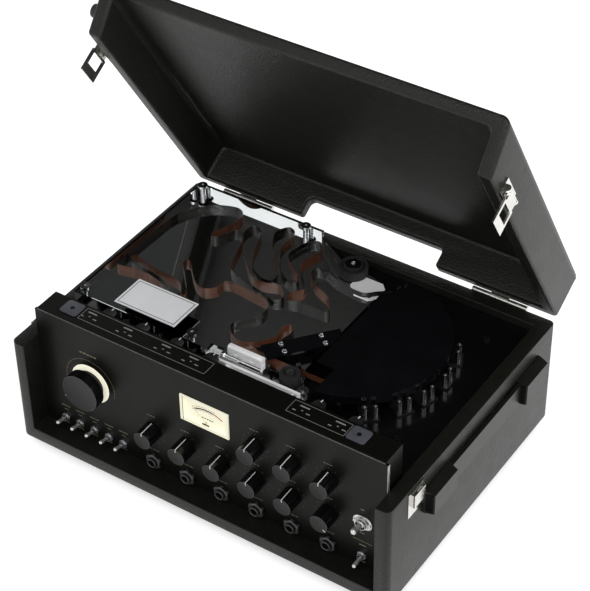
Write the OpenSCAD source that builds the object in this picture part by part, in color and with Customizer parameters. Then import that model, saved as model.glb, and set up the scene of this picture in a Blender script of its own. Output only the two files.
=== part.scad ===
// Tape echo unit in a carrying case: an open-fronted case with a hinged lid, a control
// panel, and a tape deck whose loose loop of tape lies on edge in a mirror-steel bin.
// Millimetres, +Z up, +Y towards the hinges. The origin is on the table under the
// middle of the case. The lid is drawn open, as it rests.

/* [Case] */
// outside width of the case
case_w = 420; // [404:1:450]
// outside depth of the case
case_d = 303; // [297:1:330]
// height of the side and back walls above the case's underside
case_h = 121; // [119:1:128]
// thickness of the covered wooden walls
case_wall = 15; // [13:0.5:15.5]
// thickness of the floor board
floor_t = 15; // [10:0.5:18]
// radius of the upright outer corners
corner_r = 5; // [4:0.5:12]
// height of the rubber feet
foot_h = 12; // [8:0.5:16]
// radius of a foot underneath
foot_r = 12; // [9:0.5:15]
// distance of the feet from the case's outer faces
foot_inset = 35; // [24:1:60]
// radius of the small feet on the left side
side_foot_r = 8; // [6:0.5:9]
// how far the small feet stand out of the left side
side_foot_h = 7; // [5:0.5:9]
// distance of the mains inlet below the walls' top
inlet_drop = 59; // [56:0.5:62]
// distance of the mains inlet's plate from the right side
inlet_in = 140; // [130:1:150]

/* [Lid] */
// how far the lid is open, from closed
lid_open = 58.9; // [45:0.1:80]
// room between the control head and the closed lid's top board
lid_room = 4.1; // [1.5:0.1:6]
// thickness of the lid's walls
lid_wall = 14.5; // [13:0.5:15.5]
// thickness of the lid's top board
lid_top_t = 12; // [10:0.5:16]
// how far the lid's rim stops short of the case front
lid_short = 0.5; // [0:0.5:14]
// how much farther forward the lid's top reaches than its rim
lid_slant = 21; // [10:0.5:34]
// width of the cable notch in the lid's back wall
notch_w = 156; // [120:1:170]
// height of the cable notch
notch_h = 20; // [14:0.5:24]

/* [Front panel] */
// how far the panel stands behind the case front
panel_set = 22; // [20:0.5:24]
// thickness of the panel
panel_t = 3; // [2:0.5:4]
// height of the control head's top above the case's underside
head_z = 155; // [152:0.5:159]
// depth of the control head, front to back
head_depth = 28.5; // [27:0.5:32]
// spacing of the knob columns
column_pitch = 39.4; // [38:0.1:40]
// middle of the six knob columns
column_x = 35.6; // [34:0.1:37]
// height of the lower knob row above the case's underside
knob_row = 62.5; // [60:0.5:65]
// height of the upper knob row
top_row = 104.5; // [101:0.5:105]
// height of the jack row
jack_row = 24.3; // [24:0.1:27]
// radius of a small knob
knob_r = 9.75; // [8:0.25:11]
// length of a knob in front of the panel
knob_l = 17.5; // [14:0.5:19]
// radius of the large mode knob
mode_r = 20.5; // [17:0.5:22]
// distance of the mode knob from the left wall
mode_in = 60.5; // [57:0.5:65]
// height of the mode knob
mode_z = 87; // [84:0.5:92]
// spacing of the five small switches
toggle_pitch = 17.5; // [16:0.1:18]
// distance of the middle small switch from the left wall
toggle_in = 60.5; // [57:0.1:62]
// lean of a switch lever from straight out
lever_lean = 12; // [8:0.5:15]
// width of the level meter
meter_w = 54; // [48:0.5:58]
// height of the level meter
meter_h = 30.5; // [26:0.5:33]
// height of the meter's middle
meter_z = 113; // [111:0.5:116]
// distance of the power switch from the right wall
power_in = 25; // [23:0.5:27]
// height of the power switch
power_z = 70.5; // [66:0.5:76]
// height of the speed switch
speed_z = 29; // [27:0.5:34]
// radius of a trim knob behind the head
trim_r = 7.3; // [6:0.1:8]

/* [Tape deck] */
// height of the deck plate's top above the case's underside
deck_z = 113; // [111:0.5:114]
// thickness of the deck plate
deck_t = 2.5; // [2:0.5:3]
// height of the bin floor above the deck
bin_lift = 13; // [11:0.5:15]
// thickness of the bin's sheet steel
sheet_t = 1.5; // [1:0.25:2]
// height of the bin's walls above its floor
bin_wall_h = 8.5; // [8:0.25:11]
// thickness of the clear cover
cover_t = 2; // [1.5:0.5:3]
// width of the notice plate on the cover
notice_w = 71; // [60:1:78]
// depth of the notice plate
notice_d = 40; // [34:1:44]
// width of the tape
tape_w = 6.35; // [6:0.05:6.5]
// thickness of the tape, drawn thicker than it is
tape_t = 0.4; // [0.3:0.05:0.5]
// radius of the tape's run past the heads
head_arc_r = 71; // [70.5:0.1:71.5]
// place of the head arc's centre, across
arc_x = 66.5; // [65:0.5:68]
// distance of the head arc's centre in front of the case's inner back
arc_back = 113; // [112:0.5:114]
// radius of the head cover
head_cover_r = 91.5; // [90:0.5:92.5]
// radius of the capstan shaft
capstan_r = 2.4; // [2:0.1:2.6]
// radius of the pinch roller
pinch_r = 10; // [9:0.25:10.25]
// gap between the released pinch roller and the tape
pinch_gap = 1.5; // [1:0.1:2]
// radius of the guide roller behind the bin
guide_r = 14.5; // [12:0.5:15]
// radius of the flywheel
flywheel_r = 38; // [34:0.5:40]
// radius of the motor
motor_r = 26; // [22:0.5:28]
// radius of the motor's pulley
pulley_r = 8; // [6:0.5:10]

/* [Handle and latches] */
// how far the handle's caps stand out
cap_proud = 12; // [10:0.5:14]
// height of the handle above the case's underside
handle_z = 89; // [84:0.5:92]
// spacing of the handle's two caps
handle_span = 170; // [150:1:180]
// width of a latch's bail
bail_w = 27; // [22:0.5:30]
// length of a bail below the lid's rim
bail_l = 24; // [20:0.5:34]

/* [Hidden] */
e = 0.01;
fit = 0.05;
half_w = case_w / 2;
in_x = half_w - case_wall;
in_back = case_d - case_wall;
panel_back = panel_set + panel_t;
panel_x = in_x - 0.2;
head_back = panel_set + head_depth;
head_x = in_x - 3;
head_sheet = 2;
mode_x = mode_in - in_x;
toggle_x = toggle_in - in_x;
toggle_row = jack_row + 3;
power_x = in_x - power_in;
columns = [for (i = [0:5]) column_x + (i - 2.5) * column_pitch];
knob_spots = concat([for (x = columns) [x, knob_row]], [for (i = [3:5]) [columns[i], top_row]]);
trim_spots = concat([for (i = [-2:1]) columns[0] + i * column_pitch], [columns[4], columns[5]]);
toggle_spots = [for (i = [-2:2]) toggle_x + i * toggle_pitch];
trim_y = head_back + 16.2;
trim_top = deck_z + 27;
pot_r = 8;
shaft_r = 3;
bush_r = 3.5;
jack_r = 3.2;
jack_bush_r = 5.5;
mini_bush_r = 3;
power_bush_r = 5.5;
bush_wall = 0.5;
speed_x = power_x;
deck_front = panel_set + 24;
deck_back = in_back - 0.5;
deck_under = deck_z - deck_t;
bin_z = deck_z + bin_lift;
bin_left = -in_x + 1;
bin_front = trim_y + 11.8;
bin_back = in_back - 1;
bin_right = arc_x - 16.5;
arc_y = in_back - arc_back;
cover_z = bin_z + bin_wall_h;
tape_z = bin_z + 0.1;
tape_y = arc_y - head_arc_r;
pinch = [arc_x - 19.9, tape_y - tape_t / 2 - pinch_gap - pinch_r];
cap_at = [arc_x - 19.9, tape_y + tape_t / 2 + capstan_r + 0.1];
arm_pivot = [pinch[0] + 17.4, pinch[1] - 5];
arm_pin = [arm_pivot[0] - 2, arm_pivot[1] - 12];
guide = [arc_x - 54.5, in_back - 32];
motor_at = [140, arc_y - 15];
wheel_z = 60;
wheel_t = 10;
top_z = bin_z + 7;
head_angles = [-50.5, -31.2, -15.4, 2.4, 23.3];
pin_back = 3.6;
pin_drop = 1.5;
pin_r = 1.4;
barrel_r = 3.2;
rim_gap = 0.3;
rim_l = case_d - lid_short;
lid_h = head_z - case_h - rim_gap + lid_room + lid_top_t;
hinge_x = 148;
latch_y = 43.5;
latch_s = case_d - latch_y;
latch_pin = [half_w + 4.5, 9];
bail_t = 1.8;
bail_x = half_w + 5.4;
handle_y = 164;
strap_w = 24;
cap_l = 44;
inlet = [half_w - inlet_in, case_h - inlet_drop];
inlet_plate_w = 110;
through = 200;

// ---- placing ----------------------------------------------------------------------

// the case's own frame: Y from its front face, Z from its underside
module unit() {
    translate([0, -case_d / 2, foot_h]) children();
}

// the lid's frame: Y back from the rim's rear corner (so forward is negative), Z out of
// the rim; it turns with the lid about the hinge pins
module lid_frame() {
    unit()
        translate([0, case_d + pin_back, case_h - pin_drop])
            rotate([-lid_open, 0, 0])
                translate([0, -pin_back, pin_drop + rim_gap])
                    children();
}

// a cylinder along +Y from a place on the panel
module out_y(x, z, y0, y1, r1, r2 = -1) {
    translate([x, y0, z])
        rotate([-90, 0, 0])
            cylinder(h = y1 - y0, r1 = r1, r2 = r2 < 0 ? r1 : r2, $fn = 40);
}

// an upright post
module post(p, z0, z1, r, fn = 32) {
    translate([p[0], p[1], z0]) cylinder(h = z1 - z0, r = r, $fn = fn);
}

module box(x0, x1, y0, y1, z0, z1) {
    translate([x0, y0, z0]) cube([x1 - x0, y1 - y0, z1 - z0]);
}

// an upright slab with rounded corners [x, y, r] and chamfered top and bottom edges
module slab(corners, z0, z1, edge) {
    hull() {
        for (c = corners) {
            post(c, z0 + edge, z1 - edge, c[2]);
            post(c, z0, z1, c[2] - edge);
        }
    }
}

// ---- case -------------------------------------------------------------------------

module side_wall(side) {
    front_r = 5;
    x_in = side * (in_x + front_r);
    x_out = side * (half_w - front_r);
    intersection() {
        slab([[x_in, front_r, front_r], [x_out, front_r, front_r],
            [side * (half_w - corner_r), case_d - corner_r, corner_r],
            [x_in, case_d - corner_r, front_r]], 3, case_h, 2);
        box(side < 0 ? -half_w : in_x, side < 0 ? -in_x : half_w, 0, case_d, 0, case_h);
    }
}

module case_shell() {
    cleat = 12;
    color([0.10, 0.10, 0.09])
        unit()
            difference() {
                union() {
                    for (side = [-1, 1])
                        side_wall(side);
                    slab([for (sx = [-1, 1], sy = [corner_r, case_d - corner_r])
                        [sx * (half_w - corner_r), sy, corner_r]], 0, floor_t, 2.5);
                    box(-half_w + corner_r, half_w - corner_r, in_back, case_d, 4, case_h);
                    for (side = [-1, 1])
                        box(side < 0 ? -in_x - e : in_x - cleat, side < 0 ? cleat - in_x : in_x + e,
                            head_back + 12, in_back + e, deck_under - cleat, deck_under - fit);
                    box(-in_x, in_x, in_back - cleat, in_back + e, deck_under - cleat, deck_under - fit);
                }
                box(inlet[0], inlet[0] + inlet_plate_w, in_back - 20, case_d + 5,
                    inlet[1] - 22, inlet[1] + 22);
            }
}

module case_feet() {
    color([0.05, 0.05, 0.05])
        unit() {
            for (x = [-half_w + foot_inset, half_w - foot_inset], y = [foot_inset, case_d - foot_inset])
                difference() {
                    translate([x, y, -foot_h]) cylinder(h = foot_h, r1 = foot_r - 2, r2 = foot_r, $fn = 40);
                    translate([x, y, -foot_h - 1]) cylinder(h = 6, r = 4, $fn = 24);
                }
            for (y = [foot_inset, case_d - foot_inset])
                side_foot(y, foot_inset - 4);
        }
}

module side_foot(y, z) {
    translate([-half_w, y, z])
        rotate([0, -90, 0])
            difference() {
                cylinder(h = side_foot_h, r1 = side_foot_r, r2 = side_foot_r - 1.5, $fn = 32);
                translate([0, 0, side_foot_h - 3]) cylinder(h = 4, r = 3, $fn = 24);
            }
}

// the metal on the case: latch catches and the lower hinge leaves with their pins
module case_fittings() {
    leaf_t = 1.5;
    color([0.72, 0.72, 0.74])
        unit() {
            for (side = [-1, 1])
                scale([side, 1, 1])
                    catch_plate();
            for (side = [-1, 1])
                translate([side * hinge_x, case_d, case_h - pin_drop]) {
                    box(-30, 30, 0, leaf_t, -26, -barrel_r + 0.6);
                    for (x = [-30, 10.2]) {
                        knuckle(x, 19.8);
                        box(x, x + 19.8, 0, leaf_t, -4, 0);
                    }
                    translate([-30, pin_back, 0])
                        rotate([0, 90, 0])
                            cylinder(h = 60, r = pin_r, $fn = 24);
                }
        }
}

module knuckle(x, l) {
    translate([x, pin_back, 0]) rotate([0, 90, 0]) cylinder(h = l, r = barrel_r, $fn = 32);
}

module catch_plate() {
    difference() {
        union() {
            box(half_w, half_w + 1.2, latch_y - 13.2, latch_y + 13.2, case_h - 31, case_h - 2.5);
            box(half_w + 1, half_w + 5, latch_y - 9, latch_y + 9, case_h - 19, case_h - 4.5);
        }
        box(half_w + 2.2, half_w + 4, latch_y - 6, latch_y + 6, case_h - 9, case_h);
    }
}

module handle_caps() {
    color([0.62, 0.60, 0.55])
        unit()
            for (side = [-1, 1])
                difference() {
                    handle_cap(handle_y + side * handle_span / 2);
                    strap_solid(fit);
                }
}

module handle_cap(y) {
    l = cap_l / 2;
    hull() {
        box(half_w, half_w + 2, y - l, y + l, handle_z - 13.5, handle_z + 13.5);
        box(half_w, half_w + cap_proud, y - l + 1.5, y + l - 3, handle_z - 11.5, handle_z + 11.5);
    }
}

module strap_solid(g) {
    reach = handle_span / 2 + 8 + g;
    hull() {
        for (side = [-1, 1])
            translate([half_w + 1.8 - g, handle_y + side * (reach - 4), handle_z])
                rotate([0, 90, 0])
                    resize_free_end(strap_w / 2 + g, 4 + 2 * g);
    }
}

module resize_free_end(half, t) {
    for (s = [-1, 1])
        translate([s * (half - 4), 0, 0]) cylinder(h = t, r = 4, $fn = 24);
}

module handle_strap() {
    color([0.08, 0.08, 0.08])
        unit()
            strap_solid(0);
}

// the plate on the case's back with the mains inlet and two jacks
module rear_panel() {
    x0 = inlet[0];
    z = inlet[1];
    color([0.12, 0.12, 0.12])
        unit()
            difference() {
                union() {
                    box(x0 - 8, x0 + inlet_plate_w + 8, case_d, case_d + 1.5, z - 30, z + 30);
                    box(x0 + 8, x0 + 42, case_d - 24, case_d + 3, z - 14, z + 14);
                    for (x = [x0 + 68, x0 + 96])
                        out_y(x, z, case_d - 22, case_d + 4, jack_bush_r + 2);
                }
                box(x0 + 11, x0 + 39, case_d - 20, case_d + 4, z - 10, z + 10);
                for (x = [x0 + 68, x0 + 96])
                    out_y(x, z, case_d - 18, case_d + 5, jack_r);
            }
    color([0.12, 0.12, 0.12])
        unit()
            for (dx = [17, 25, 33])
                box(x0 + dx - 1, x0 + dx + 1, case_d - 21, case_d - 8, z - 4, z + 4);
}

// ---- lid --------------------------------------------------------------------------

module lid_shell() {
    edge = 4;
    color([0.10, 0.10, 0.09])
        lid_frame()
            difference() {
                hull() {
                    for (side = [-1, 1]) {
                        x = side * (half_w - corner_r);
                        post([x, -corner_r], 0, lid_h - corner_r, corner_r);
                        translate([x, -corner_r, lid_h - corner_r]) sphere(r = corner_r, $fn = 32);
                        x2 = side * (half_w - edge);
                        translate([x2, edge - rim_l, 0]) sphere(r = edge, $fn = 32);
                        translate([x2, edge - rim_l - lid_slant, lid_h - edge]) sphere(r = edge, $fn = 32);
                    }
                }
                box(-half_w - 1, half_w + 1, -case_d - 60, 10, -20, 0);
                box(-half_w + lid_wall, half_w - lid_wall, -case_d - 60, -lid_wall, -1, lid_h - lid_top_t);
                box(-notch_w / 2, notch_w / 2, -lid_wall - 1, 5, -1, notch_h);
            }
}

module lid_feet() {
    up = lid_h / 2 - 1;
    color([0.05, 0.05, 0.05])
        lid_frame() {
            side_foot(side_foot_r + 4 - rim_l - lid_slant * up / lid_h, up);
            side_foot(-foot_inset, up);
        }
}

// the metal on the lid: latch bases and the upper hinge leaves
module lid_fittings() {
    leaf_t = 1.5;
    up = pin_drop + rim_gap;
    color([0.72, 0.72, 0.74])
        lid_frame() {
            for (side = [-1, 1])
                scale([side, 1, 1])
                    latch_base();
            for (side = [-1, 1])
                translate([side * hinge_x, 0, -up])
                    difference() {
                        union() {
                            box(-30, 30, 0, leaf_t, up + 2, 30);
                            box(-9.8, 9.8, 0, leaf_t, 0, up + 4);
                            knuckle(-9.8, 19.6);
                        }
                        translate([-31, pin_back, 0])
                            rotate([0, 90, 0])
                                cylinder(h = 62, r = pin_r + fit, $fn = 24);
                    }
        }
}

module latch_base() {
    w = bail_w / 2;
    translate([0, -latch_s, 0]) {
        box(half_w, half_w + 1.5, -w - 2, w + 2, 1.5, 17);
        for (s = [-1, 1])
            hull() {
                box(half_w, half_w + 1, s * (w - 1) - 1.6, s * (w - 1) + 1.6, 1.5, 12);
                translate([latch_pin[0], s * (w - 1) + 1.6, latch_pin[1]])
                    rotate([90, 0, 0])
                        cylinder(h = 3.2, r = 3, $fn = 24);
            }
        translate([latch_pin[0], w, latch_pin[1]])
            rotate([90, 0, 0])
                cylinder(h = bail_w, r = pin_r, $fn = 24);
    }
}

// a bail that swings on the lid's latch base and reaches over the catch below it
module latch(side) {
    w = bail_w / 2;
    sleeve = w - 3;
    color([0.72, 0.72, 0.74])
        lid_frame()
            scale([side, 1, 1])
                translate([0, -latch_s, 0])
                    difference() {
                        union() {
                            box(bail_x, bail_x + bail_t, -sleeve, sleeve, -3, latch_pin[1]);
                            box(bail_x, bail_x + bail_t, -w, w, -bail_l, -0.5);
                            translate([latch_pin[0], sleeve, latch_pin[1]])
                                rotate([90, 0, 0])
                                    cylinder(h = 2 * sleeve, r = 2.7, $fn = 32);
                        }
                        box(bail_x - 1, bail_x + bail_t + 1, 3.5 - w, w - 3.5, -15, -3);
                        translate([latch_pin[0], w, latch_pin[1]])
                            rotate([90, 0, 0])
                                cylinder(h = bail_w, r = pin_r + fit, $fn = 24);
                    }
}

module latch_left() {
    latch(-1);
}

module latch_right() {
    latch(1);
}

// ---- front panel and controls -----------------------------------------------------

module front_panel() {
    color([0.09, 0.09, 0.085])
        unit()
            difference() {
                box(-panel_x, panel_x, panel_set, panel_back, floor_t, head_z - head_sheet);
                for (p = knob_spots)
                    out_y(p[0], p[1], panel_set - 1, panel_back + 1, bush_r + fit);
                for (x = columns)
                    out_y(x, jack_row, panel_set - 1, panel_back + 1, jack_bush_r + fit);
                for (x = toggle_spots)
                    out_y(x, toggle_row, panel_set - 1, panel_back + 1, mini_bush_r + fit);
                out_y(speed_x, speed_z, panel_set - 1, panel_back + 1, mini_bush_r + fit);
                out_y(power_x, power_z, panel_set - 1, panel_back + 1, power_bush_r + fit);
                out_y(mode_x, mode_z, panel_set - 1, panel_back + 1, bush_r + fit);
                box(-meter_w / 2 + 2, meter_w / 2 - 2, panel_set - 1, panel_back + 1,
                    meter_z - meter_h / 2 + 2, meter_z + meter_h / 2 - 2);
            }
}

// the folded sheet box above the panel
module control_head() {
    color([0.09, 0.09, 0.085])
        unit() {
            hull() {
                box(-head_x, head_x, panel_set + 1, head_back, head_z - 0.5, head_z);
                box(-head_x, head_x, panel_set, head_back, head_z - head_sheet, head_z - 1);
            }
            box(-head_x, head_x, head_back - head_sheet, head_back, deck_z, head_z - 1);
            for (side = [-1, 1])
                translate([side * (head_x - head_sheet / 2), (panel_back + head_back) / 2, (deck_z + head_z) / 2])
                    cube([head_sheet, head_back - panel_back, head_z - deck_z - 1], center = true);
        }
}

// pots, switch bodies, their bushes and shafts
module control_bodies() {
    color([0.55, 0.55, 0.56])
        unit() {
            for (p = knob_spots)
                pot(p[0], p[1], pot_r, 12);
            pot(mode_x, mode_z, 14, 18);
            for (x = trim_spots) {
                post([x, trim_y], deck_under - 12, deck_under, pot_r);
                post([x, trim_y], deck_under - e, deck_z + 5, bush_r);
                post([x, trim_y], deck_z, trim_top - 6, shaft_r);
            }
            for (x = toggle_spots)
                switch_body(x, toggle_row, mini_bush_r, [5, 13, 6.5]);
            switch_body(speed_x, speed_z, mini_bush_r, [6, 15, 6.5]);
            switch_body(power_x, power_z, power_bush_r, [8, 20, 14]);
        }
}

module pot(x, z, r, depth) {
    out_y(x, z, panel_back, panel_back + depth, r);
    out_y(x, z, panel_set - 1.5, panel_back + e, bush_r);
    out_y(x, z, panel_set - 11, panel_back, shaft_r);
}

module switch_body(x, z, r, half) {
    difference() {
        union() {
            box(x - half[0], x + half[0], panel_back, panel_back + half[1], z - half[2], z + half[2]);
            out_y(x, z, panel_set - 5, panel_back + e, r);
            out_y(x, z, panel_set - 2, panel_set, r + 1.6);
        }
        out_y(x, z, panel_set - 6, panel_set - 1 + r, r - bush_wall);
    }
}

// a switch lever on a ball and cross pin inside the bush; it leans down or up
module lever(x, z, lean, bush, root_r, tip_r, length) {
    inner = bush - bush_wall - fit;
    cross_r = inner * 0.37;
    reach = sqrt(inner * inner - cross_r * cross_r);
    unit()
        translate([x, panel_set - 1, z])
            rotate([90 + lean, 0, 0]) {
                sphere(r = inner - 0.5, $fn = 32);
                translate([-reach, 0, 0]) rotate([0, 90, 0]) cylinder(h = 2 * reach, r = cross_r, $fn = 24);
                cylinder(h = length - tip_r, r1 = root_r, r2 = tip_r, $fn = 24);
                translate([0, 0, length - tip_r]) sphere(r = tip_r, $fn = 24);
            }
}

module toggle(i) {
    color([0.8, 0.8, 0.82])
        lever(toggle_spots[i], toggle_row, -lever_lean, mini_bush_r, 1, 2, 15);
}

module power_lever() {
    color([0.8, 0.8, 0.82])
        lever(power_x, power_z, -lever_lean / 2, power_bush_r, 1.9, 3.2, 17);
}

module speed_lever() {
    color([0.8, 0.8, 0.82])
        lever(speed_x, speed_z, lever_lean, mini_bush_r, 1.1, 2.2, 15);
}

// a knob on its shaft: a fluted skirt, a stepped face and a blind bore
module knob_solid(r, l, bore_r, bore_l) {
    difference() {
        union() {
            cylinder(h = 3, r1 = r, r2 = r, $fn = 48);
            translate([0, 0, 3 - e]) cylinder(h = l - 4, r1 = r * 0.93, r2 = r * 0.88, $fn = 48);
            translate([0, 0, l - 1 - 2 * e]) cylinder(h = 1, r1 = r * 0.88, r2 = r * 0.8, $fn = 48);
        }
        translate([0, 0, -1]) cylinder(h = bore_l + 1, r = bore_r + fit, $fn = 32);
        translate([0, 0, -1]) cylinder(h = 4, r = min(r - 2, bush_r + 1), $fn = 32);
    }
}

module panel_knob(p, r) {
    color([0.05, 0.05, 0.05])
        unit()
            translate([p[0], panel_set - 0.5, p[1]])
                rotate([90, 0, 0])
                    knob_solid(r, knob_l - 0.5, shaft_r, 11);
}

module knob(i) {
    panel_knob(knob_spots[i], knob_r);
}

module mode_knob() {
    panel_knob([mode_x, mode_z], mode_r);
}

module trim(i) {
    z0 = deck_z + 8;
    color([0.05, 0.05, 0.05])
        unit()
            translate([trim_spots[i], trim_y, z0])
                knob_solid(trim_r, trim_top - z0, shaft_r, trim_top - z0 - 5.5);
}

module input_jacks() {
    color([0.06, 0.06, 0.06])
        unit()
            for (x = columns)
                difference() {
                    union() {
                        box(x - 8, x + 8, panel_back, panel_back + 20, jack_row - 9, jack_row + 9);
                        out_y(x, jack_row, panel_set - 6, panel_back + e, jack_bush_r);
                        out_y(x, jack_row, panel_set - 3, panel_set, 8.1);
                    }
                    out_y(x, jack_row, panel_set - 7, panel_back + 17, jack_r);
                }
}

// the meter's case and dial: a tray behind the panel with its rim in front
module meter() {
    x = meter_w / 2;
    z0 = meter_z - meter_h / 2;
    z1 = meter_z + meter_h / 2;
    color([0.85, 0.82, 0.68])
        unit()
            difference() {
                union() {
                    box(-x, x, panel_set - 1.5, panel_set, z0, z1);
                    box(2.1 - x, x - 2.1, panel_set - 1, panel_back + 14, z0 + 2.1, z1 - 2.1);
                }
                box(3.5 - x, x - 3.5, panel_set - 2, panel_set + 2.5, z0 + 3.5, z1 - 3.5);
            }
    color([0.85, 0.82, 0.68])
        unit()
            out_y(0, z0 + 6, panel_set + 1.6, panel_set + 2.6, 1.2);
}

module meter_needle() {
    z0 = meter_z - meter_h / 2;
    color([0.05, 0.05, 0.05])
        unit()
            translate([0, panel_set + 1.5, z0 + 6])
                rotate([0, -48, 0]) {
                    rotate([90, 0, 0]) cylinder(h = 0.8, r = 1.6, $fn = 24);
                    box(-0.3, 0.3, -0.7, -0.1, 0, 19.5);
                }
}

// ---- deck -------------------------------------------------------------------------

module deck_plate() {
    color([0.03, 0.03, 0.03])
        unit()
            difference() {
                box(0.5 - in_x, in_x - 0.5, deck_front, deck_back, deck_under, deck_z);
                for (x = trim_spots)
                    post([x, trim_y], 0, through, bush_r + fit);
                post(cap_at, 0, through, capstan_r + fit);
            }
}

module deck_screws() {
    spots = [[in_x - 32, 91, 0], [in_x - 32, in_back - 34, 0],
        [arc_x - 10.7, arc_y - 57, 0]];
    color([0.75, 0.75, 0.76])
        unit()
            for (s = spots)
                difference() {
                    post(s, deck_z, deck_z + 2.2, 3.6);
                    translate([s[0], s[1], deck_z + 2.2]) cube([0.9, 4.5, 1.6], center = true);
                    translate([s[0], s[1], deck_z + 2.2]) cube([4.5, 0.9, 1.6], center = true);
                }
}

module bin_outline() {
    polygon([[bin_left, bin_front], [-44, bin_front], [-44, tape_y - 8], [arc_x - 30, tape_y - 8],
        [arc_x - 30, cap_at[1] + 5], [bin_right, cap_at[1] + 5], [bin_right, in_back - 42],
        [bin_right - 5, in_back - 31], [arc_x - 37, in_back - 26], [arc_x - 64, in_back - 26],
        [-44, bin_back], [bin_left, bin_back]]);
}

// the mirror tray: a raised floor on skirts, with walls on its left, back and front
module bin_tray() {
    color([0.85, 0.85, 0.87])
        unit()
            difference() {
                union() {
                    translate([0, 0, bin_z - sheet_t]) linear_extrude(sheet_t) bin_outline();
                    translate([0, 0, deck_z])
                        linear_extrude(bin_lift - sheet_t + e)
                            difference() {
                                bin_outline();
                                offset(delta = -sheet_t) bin_outline();
                            }
                    box(bin_left, bin_left + sheet_t, bin_front, bin_back, bin_z - e, cover_z);
                    box(bin_left, -44, bin_back - sheet_t, bin_back, bin_z - e, cover_z);
                    box(bin_left, -44, bin_front, bin_front + sheet_t, bin_z - e, cover_z);
                }
                for (p = cover_posts)
                    post(p, 0, through, 3 + fit);
                post(guide, 0, through, 2.5 + fit);
            }
}

cover_posts = [for (x = [bin_left + 7, -60], y = [bin_front + 8.5, bin_back - 6]) [x, y]];

module bin_cover() {
    x1 = -2;
    color([0.8, 0.85, 0.9, 0.35])
        unit()
            difference() {
                translate([0, 0, cover_z])
                    linear_extrude(cover_t)
                        polygon([[bin_left, bin_front], [x1, bin_front], [x1, in_back - 38],
                            [x1 - 36, bin_back - 9], [x1 - 40, bin_back], [bin_left, bin_back]]);
                for (p = cover_posts)
                    post(p, 0, through, 3 + fit);
            }
}

module notice_plate() {
    color([0.9, 0.9, 0.9])
        unit()
            translate([bin_left + 43, bin_front + 7, cover_z + cover_t])
                cube([notice_w, notice_d, 0.6]);
}

module deck_posts() {
    color([0.78, 0.78, 0.8])
        unit() {
            for (p = cover_posts) {
                post(p, deck_z, cover_z + cover_t + 1, 3);
                difference() {
                    post(p, cover_z + cover_t, cover_z + cover_t + 3.2, 5.25);
                    post(p, cover_z + cover_t + 2.4, cover_z + cover_t + 5, 1.6, 16);
                }
            }
            post(guide, deck_z, bin_z + 10.5, 2.5);
            for (p = [[arc_x + 0.5, arc_y + 77], [arc_x + 4.5, arc_y + 83]])
                post(p, deck_z, bin_z + 10, 1.8);
            for (a = [-78, 46])
                post([arc_x + 80 * cos(a), arc_y + 80 * sin(a)], deck_z, top_z, 3.5);
            post([arc_x + 10, arc_y], deck_z, top_z, 3.5);
            post(arm_pivot, deck_z, bin_z + 2, 2.5);
            for (a = head_angles, s = [-1, 1])
                translate([arc_x, arc_y, 0])
                    rotate([0, 0, a])
                        difference() {
                            post([head_cover_r + 5.5, s * 5], deck_z + 2, deck_z + 15, 2.6);
                            post([head_cover_r + 5.5, s * 5], deck_z + 13.5, deck_z + 16, 1.3, 16);
                        }
        }
}

// five head cans on tongues that run out under the cover to their azimuth screws
module tape_heads() {
    color([0.7, 0.7, 0.72])
        unit()
            translate([arc_x, arc_y, 0])
                for (a = head_angles)
                    rotate([0, 0, a]) {
                        box(head_arc_r + 3, head_cover_r + 10, -9, 9, deck_z, deck_z + 2);
                        box(head_arc_r + 3, head_cover_r - 8, -5, 5, deck_z + 1, bin_z - 3);
                        difference() {
                            box(head_arc_r + 0.3, head_cover_r - 5, -6, 6, bin_z - 3 - e, top_z - 0.4);
                            box(head_arc_r - 1, head_arc_r + 1.3, -0.2, 0.2, bin_z - 4, top_z);
                        }
                    }
}

module half_moon(r) {
    difference() {
        translate([arc_x, arc_y]) circle(r = r, $fn = 120);
        translate([arc_x - 8.5 - through, arc_y - through]) square([through, 2 * through]);
        translate([arc_x - 20, arc_y - 156]) square([31.5, 100]);
        polygon([[arc_x - 9, arc_y + 55], [arc_x + 9.5, arc_y + 86], [arc_x + 9.5, arc_y + 110],
            [arc_x - 20, arc_y + 110], [arc_x - 20, arc_y + 55]]);
    }
}

module head_cover() {
    color([0.03, 0.03, 0.03])
        unit() {
            translate([0, 0, top_z]) linear_extrude(2) half_moon(head_cover_r);
            translate([0, 0, bin_z])
                linear_extrude(top_z - bin_z + e)
                    difference() {
                        half_moon(head_cover_r);
                        translate([arc_x, arc_y]) circle(r = head_cover_r - 2, $fn = 120);
                    }
        }
}

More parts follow.
